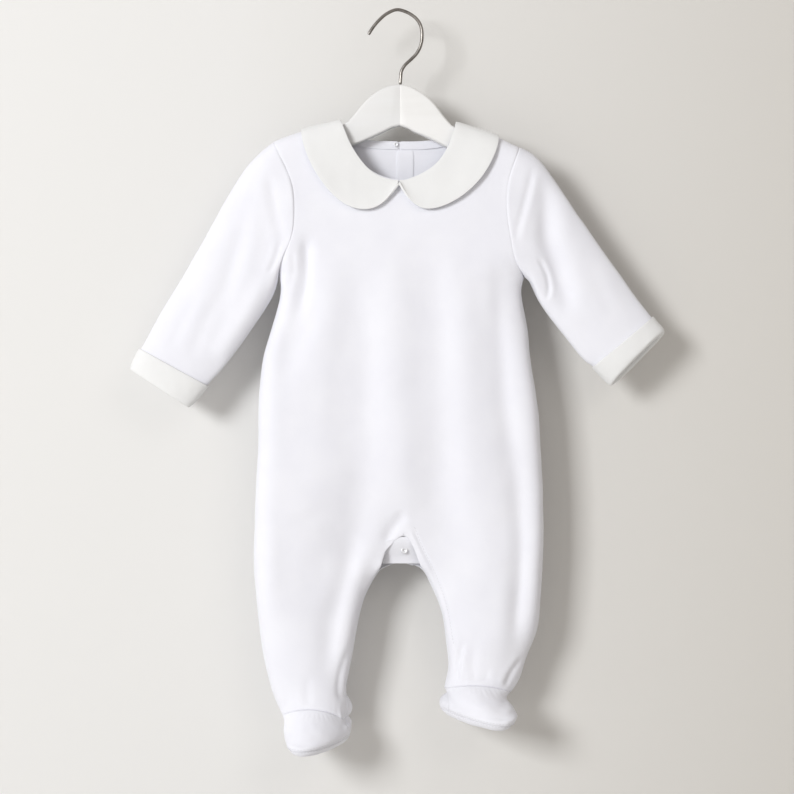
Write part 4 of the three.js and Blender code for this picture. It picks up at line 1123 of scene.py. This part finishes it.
@dataclass
class Stitching:
    """Rows of machine stitches, each a short thread lying on the cloth with its ends sunk in.

    Lengths are in millimetres. A row is looked for on the cloth from as far away as reach.
    """

    finish: bpy.types.Material
    length: float = 2.4
    pitch: float = 3.1
    radius: float = 0.2
    reach: float = 60.0
    samples: int = 60
    placket: str = "cloth_back_placket"
    placket_sides: tuple[float, float] = (-4.4, 8.8)
    placket_top: float = -132.0
    placket_low: float = -324.0
    placket_end: float = -325.4
    inner_leg: tuple[tuple[float, float], ...] = ((17, -489), (25, -509), (38, -536), (48, -566), (54, -600))
    beside_seam: float = 1.5

    def surface(self, names: tuple[str, ...]) -> BVHTree:
        """Collects pieces that a row is sewn on.

        Args:
            names: names of the pieces.

        Returns:
            A tree that finds where a ray meets them.
        """
        verts, faces = [], []
        for name in names:
            mesh = bpy.data.objects[name].data
            first = len(verts)
            verts += [vert.co.copy() for vert in mesh.vertices]
            faces += [[first + k for k in face.vertices] for face in mesh.polygons]
        return BVHTree.FromPolygons(verts, faces)

    def row(self, name: str, on: tuple[str, ...], path: np.ndarray, into: np.ndarray) -> None:
        """Sews one row.

        Args:
            name: name of the row.
            on: pieces that it is sewn on.
            path: points of its line in millimetres.
            into: for each point, the direction that looks at the cloth from outside.
        """
        tree = self.surface(on)
        runs = np.linalg.norm(np.diff(path, axis=0), axis=1)
        along = np.concatenate([[0.0], np.cumsum(runs)])
        bm = bmesh.new()
        for start in np.arange(0.0, along[-1] - self.length, self.pitch):
            ends = []
            for station in (start, start + self.length):
                place = Vector([np.interp(station, along, path[:, k]) for k in range(3)]) * MM
                look = Vector([np.interp(station, along, into[:, k]) for k in range(3)]).normalized()
                ends.append(tree.ray_cast(place - look * self.reach * MM, look)[0])
            if None in ends or (ends[1] - ends[0]).length > 2 * self.length * MM:
                continue
            run = ends[1] - ends[0]
            turn = run.to_track_quat("Z", "Y").to_matrix().to_4x4()
            size = Matrix.Diagonal((self.radius * MM, self.radius * MM, run.length / 2, 1.0))
            middle = Matrix.Translation((ends[0] + ends[1]) / 2)
            shape = middle @ turn @ size
            bmesh.ops.create_uvsphere(bm, u_segments=6, v_segments=6, radius=1.0, matrix=shape)
        dress(new_object(name, bm), self.finish)

    def upright(self, name: str, on: str, points: tuple[tuple[float, float], ...], side: Side) -> None:
        """Sews a row that is drawn in the front view.

        Args:
            name: name of the row.
            on: piece that it is sewn on.
            points: its X and Z, in millimetres.
            side: side of the garment that it is seen from.
        """
        line = curve_through(np.array(points, float), self.samples)
        path = np.column_stack([line[:, 0], np.zeros(self.samples), line[:, 1]])
        into = np.tile([0.0, -side.value, 0.0], (self.samples, 1))
        self.row(name, (on,), path, into)

    def around_sole(self, side: str, above: float) -> None:
        """Sews a row round a foot beside its sole seam.

        Args:
            side: "left" or "right" in the front view.
            above: how far above the seam, in millimetres, negative on the sole.
        """
        bm = outer_layer(f"sole_{side}", FOOT_CENTRES[side], FOOT_CREASE)
        seam = np.array(boundary_line(bm)) / MM
        bm.free()
        seam = np.vstack([seam, seam[:1]])
        path = seam + np.outer(turned_up(seam) + above, (0.0, 0.0, 1.0))
        into = np.array(FOOT_CENTRES[side]) - seam
        into[:, 2] = 0.0
        on = (f"cloth_vamp_{side}", f"cloth_heel_{side}", f"cloth_sole_{side}")
        self.row(f"stitches_sole_{side}_{'upper' if above > 0 else 'lower'}", on, path, into)

    def build(self) -> None:
        """Sews all rows."""
        for side, x in zip(("left", "right"), self.placket_sides):
            heights = (self.placket_top, (self.placket_top + self.placket_low) / 2, self.placket_low)
            line = tuple((x, height) for height in heights)
            self.upright(f"stitches_placket_{side}", self.placket, line, Side.BACK)
        left, right = self.placket_sides
        line = tuple((x, self.placket_end) for x in (left, (left + right) / 2, right))
        self.upright("stitches_placket_end", self.placket, line, Side.BACK)
        self.upright("stitches_inner_leg", "cloth_front", self.inner_leg, Side.FRONT)
        for side in FOOT_CENTRES:
            self.around_sole(side, self.beside_seam)
            self.around_sole(side, -self.beside_seam)


@dataclass
class Poppers:
    """Pressed ring caps, each with a rolled rim and a dimple.

    The profile runs from the dimple over the rim to the base, as shares of the solid's radius and thickness.
    moved says how far a cap sits from its solid, in millimetres along Y.
    """

    finish: bpy.types.Material
    nodes: tuple[str, ...] = (
        "back_popper_1", "back_popper_2", "back_popper_3", "neck_popper", "crotch_popper",
    )
    profile: tuple[tuple[float, float], ...] = (
        (0.0, 0.05), (0.3, 0.06), (0.34, 0.5), (0.42, 0.6), (0.7, 0.64), (0.86, 0.66), (0.96, 0.52),
        (1.0, 0.3), (0.98, 0.1), (0.9, 0.0), (0.0, 0.0),
    )
    steps: int = 32
    moved: dict[str, float] = field(default_factory=lambda: {"crotch_popper": -8.2})

    def build(self) -> None:
        """Builds a cap on each CAD popper."""
        for node in self.nodes:
            low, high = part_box(node)
            radius = (high.x - low.x) / 2
            thick = high.y - low.y
            outside = 1.0 if node.startswith("back") else -1.0
            bm = bmesh.new()
            verts = [bm.verts.new((r * radius, h * thick * outside, 0.0)) for r, h in self.profile]
            edges = [bm.edges.new(pair) for pair in zip(verts, verts[1:])]
            bmesh.ops.spin(
                bm, geom=verts + edges, cent=(0, 0, 0), axis=(0, 1, 0), dvec=(0, 0, 0),
                angle=2 * math.pi, steps=self.steps, use_merge=True,
            )
            bmesh.ops.remove_doubles(bm, verts=bm.verts, dist=WELD)
            bmesh.ops.recalc_face_normals(bm, faces=bm.faces)
            base = (low.y if outside > 0 else high.y) + self.moved.get(node, 0.0) * MM
            place = ((low.x + high.x) / 2, base, (low.z + high.z) / 2)
            bmesh.ops.translate(bm, verts=bm.verts, vec=place)
            dress(new_object(f"cap_{node}", bm), self.finish, (node,))


@dataclass
class Hanger:
    """Painted wooden hanger of two glued halves, and its wire hook.

    Lengths are in millimetres. sharp is the angle in degrees from which the wood's shading breaks.
    """

    wood: bpy.types.Material
    steel: bpy.types.Material
    joint: float = GLUE_LINE
    round_edge: float = 2.4
    groove: float = 0.15
    sharp: float = 50.0
    hook_levels: int = 2

    def outline(self) -> bmesh.types.BMesh:
        """Cuts the hanger's outline from its solid on the middle plane.

        Returns:
            The outline as one face.
        """
        bm = bmesh.new()
        bm.from_mesh(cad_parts["hanger_body"].data)
        bmesh.ops.remove_doubles(bm, verts=bm.verts, dist=WELD)
        whole = bm.verts[:] + bm.edges[:] + bm.faces[:]
        cut = bmesh.ops.bisect_plane(
            bm, geom=whole, dist=WELD, plane_co=(0, 0, 0), plane_no=(0, 1, 0), clear_inner=True,
            clear_outer=True,
        )["geom_cut"]
        kept = set(cut)
        bmesh.ops.delete(bm, geom=[f for f in bm.faces if f not in kept], context="FACES_ONLY")
        bmesh.ops.contextual_create(bm, geom=bm.edges[:])
        return bm

    def body(self) -> None:
        """Builds the wood: outline, thickness, rounded edges, and the glued joint in the middle."""
        low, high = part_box("hanger_body")
        bm = self.outline()
        for vert in bm.verts:
            vert.co.y = low.y
        bmesh.ops.extrude_face_region(bm, geom=bm.faces[:])
        corners = [v for v in bm.verts if v.link_faces]
        for vert in corners[len(corners) // 2:]:
            vert.co.y = high.y
        bmesh.ops.recalc_face_normals(bm, faces=bm.faces)
        rims = [e for e in bm.edges if abs(e.verts[0].co.y - e.verts[1].co.y) < WELD]
        bmesh.ops.bevel(
            bm, geom=rims, offset=self.round_edge * MM, offset_type="OFFSET", affect="EDGES", segments=5,
            profile=0.5, material=-1, clamp_overlap=True,
        )
        piece = new_object("hanger_wood", bm)
        self.split(piece)
        dress(piece, self.wood, ("hanger_body",))

    def split(self, piece: bpy.types.Object) -> None:
        """Parts the wood at the joint into two halves with a fine groove between them.

        Args:
            piece: the whole wood.
        """
        whole = bmesh.new()
        whole.from_mesh(piece.data)
        joined = bmesh.new()
        for way in (1.0, -1.0):
            bm = whole.copy()
            geom = bm.verts[:] + bm.edges[:] + bm.faces[:]
            cut = bmesh.ops.bisect_plane(
                bm, geom=geom, dist=WELD, plane_co=(self.joint * MM, 0, 0), plane_no=(way, 0, 0),
                clear_outer=True,
            )["geom_cut"]
            edges = [e for e in cut if isinstance(e, bmesh.types.BMEdge)]
            bmesh.ops.contextual_create(bm, geom=edges)
            bmesh.ops.bevel(
                bm, geom=edges, offset=self.groove * MM, offset_type="OFFSET", affect="EDGES", segments=2,
                profile=0.5, material=-1, clamp_overlap=True,
            )
            mesh = bpy.data.meshes.new("half")
            bm.to_mesh(mesh)
            bm.free()
            joined.from_mesh(mesh)
            bpy.data.meshes.remove(mesh)
        whole.free()
        joined.to_mesh(piece.data)
        joined.free()
        piece.data.shade_smooth()
        piece.data.set_sharp_from_angle(angle=math.radians(self.sharp))

    def hook(self) -> None:
        """Builds the wire hook from its solid, made round."""
        bm = bmesh.new()
        bm.from_mesh(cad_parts["hanger_hook"].data)
        bmesh.ops.remove_doubles(bm, verts=bm.verts, dist=WELD)
        join_quads(bm)
        piece = new_object("hook_wire", bm)
        refine(piece, self.hook_levels)
        dress(piece, self.steel, ("hanger_hook",))

    def build(self) -> None:
        """Builds the wood and the hook."""
        self.body()
        self.hook()


# The room


@dataclass(frozen=True)
class Lamp:
    """A square area light. Its place, aim and size are in metres, and its power in watts."""

    name: str
    place: tuple[float, float, float]
    aim: tuple[float, float, float]
    size: float
    power: float
    colour: tuple[float, float, float]

    def build(self) -> None:
        """Hangs the light and points it at its aim."""
        data = bpy.data.lights.new(self.name, "AREA")
        data.size = self.size
        data.energy = self.power
        data.color = self.colour
        lamp = bpy.data.objects.new(self.name, data)
        lamp.location = self.place
        lamp.rotation_euler = (Vector(self.aim) - Vector(self.place)).to_track_quat("-Z", "Y").to_euler()
        bpy.context.scene.collection.objects.link(lamp)


@dataclass
class Room:
    """Backdrop, floor, daylight from the upper left, and the camera.

    Lengths are in millimetres but for span, the side of the backdrop and the floor in metres. picture is the
    width that the camera sees at the garment, and centre the X and Z that it looks at.
    """

    picture: float = 754.3
    distance: float = 2000.0
    sensor: float = 36.0
    centre: tuple[float, float] = (0.5, -366.3)
    backdrop: tuple[float, float, float] = (0.0, 47.0, -400.0)
    floor: tuple[float, float, float] = (0.0, 0.0, -1050.0)
    floor_tone: tuple[float, float, float] = (0.72, 0.71, 0.69)
    span: float = 6.0
    air: tuple[float, float, float] = (1.0, 0.945, 0.9)
    air_strength: float = 0.39
    lamps: tuple[Lamp, ...] = (
        Lamp("bounce", (1.6, -2.9, 1.3), (0.0, 0.0, -0.25), 1.6, 11.0, (1.0, 0.96, 0.91)),
        Lamp("window", (-2.3, -3.3, 0.65), (0.0, 0.0, -0.35), 1.2, 110.0, (0.98, 0.99, 1.0)),
    )

    def plane(
        self, name: str, turned: bool, place: tuple[float, float, float], material: bpy.types.Material,
    ) -> None:
        """Adds a large flat surface to the stage.

        Args:
            name: name of the surface.
            turned: whether it stands upright, facing the camera.
            place: its middle, in millimetres.
            material: its material.
        """
        bm = bmesh.new()
        bmesh.ops.create_grid(bm, x_segments=1, y_segments=1, size=self.span / 2)
        if turned:
            upright = Matrix.Rotation(math.pi / 2, 3, "X")
            bmesh.ops.rotate(bm, verts=bm.verts, cent=(0, 0, 0), matrix=upright)
        bmesh.ops.translate(bm, verts=bm.verts, vec=Vector(place) * MM)
        piece = new_object(name, bm)
        piece.data.materials.append(material)

    def camera(self) -> None:
        """Sets the camera level in front of the garment, at the photograph's framing."""
        data = bpy.data.cameras.new("camera")
        data.sensor_width = self.sensor
        data.lens = self.sensor * self.distance / self.picture
        eye = bpy.data.objects.new("camera", data)
        eye.location = Vector((self.centre[0], -self.distance, self.centre[1])) * MM
        eye.rotation_euler = (math.pi / 2, 0, 0)
        bpy.context.scene.collection.objects.link(eye)
        bpy.context.scene.camera = eye

    def build(self) -> None:
        """Builds the stage, the lights and the camera."""
        self.camera()
        self.plane("backdrop", True, self.backdrop, BackdropFinish().material())
        floor = BackdropFinish(name="floor_paint", light=self.floor_tone, dark=self.floor_tone)
        self.plane("floor", False, self.floor, floor.material())
        world = bpy.data.worlds.new("daylight")
        world.use_nodes = True
        air = world.node_tree.nodes["Background"].inputs
        air["Color"].default_value = (*self.air, 1.0)
        air["Strength"].default_value = self.air_strength
        bpy.context.scene.world = world
        for lamp in self.lamps:
            lamp.build()
        bpy.context.scene.view_settings.view_transform = "Standard"


def main() -> None:
    """Builds the room, the garment and the hanger."""
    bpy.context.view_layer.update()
    Room().build()
    white = {"colour": (0.882, 0.889, 0.942), "shade": (0.832, 0.839, 0.902)}
    ivory = {"colour": (0.85, 0.858, 0.86), "shade": (0.81, 0.817, 0.82)}
    fine = {"column": 0.6 * MM, "row": 0.45 * MM, "bump": 0.25, **ivory}
    jersey = KnitFinish("jersey_body", **white).material()
    trim = KnitFinish("collar_jersey", **fine).material()
    sleeves = {}
    cuffs = {}
    for side, turn in (("left", 29.0), ("right", -36.0)):
        sleeves[side] = KnitFinish(f"jersey_sleeve_{side}", turn=turn, **white).material()
        cuffs[side] = KnitFinish(f"cuff_jersey_{side}", turn=turn, **fine).material()
    nickel = SteelFinish("nickel", (0.86, 0.87, 0.89), (0.74, 0.75, 0.78), 0.55).material()
    steel = SteelFinish("steel_wire", (0.33, 0.31, 0.29), (0.2, 0.185, 0.17), 0.3).material()
    Body(jersey).build()
    Sleeves(sleeves).build()
    Feet(jersey).build()
    Collar(trim).build()
    Cuffs(cuffs).build()
    Trims(jersey).build()
    Poppers(nickel).build()
    Stitching(ThreadFinish("thread", (0.66, 0.66, 0.70)).material()).build()
    Hanger(PaintedWoodFinish().material(), steel).build()


if __name__ == "__main__":
    main()
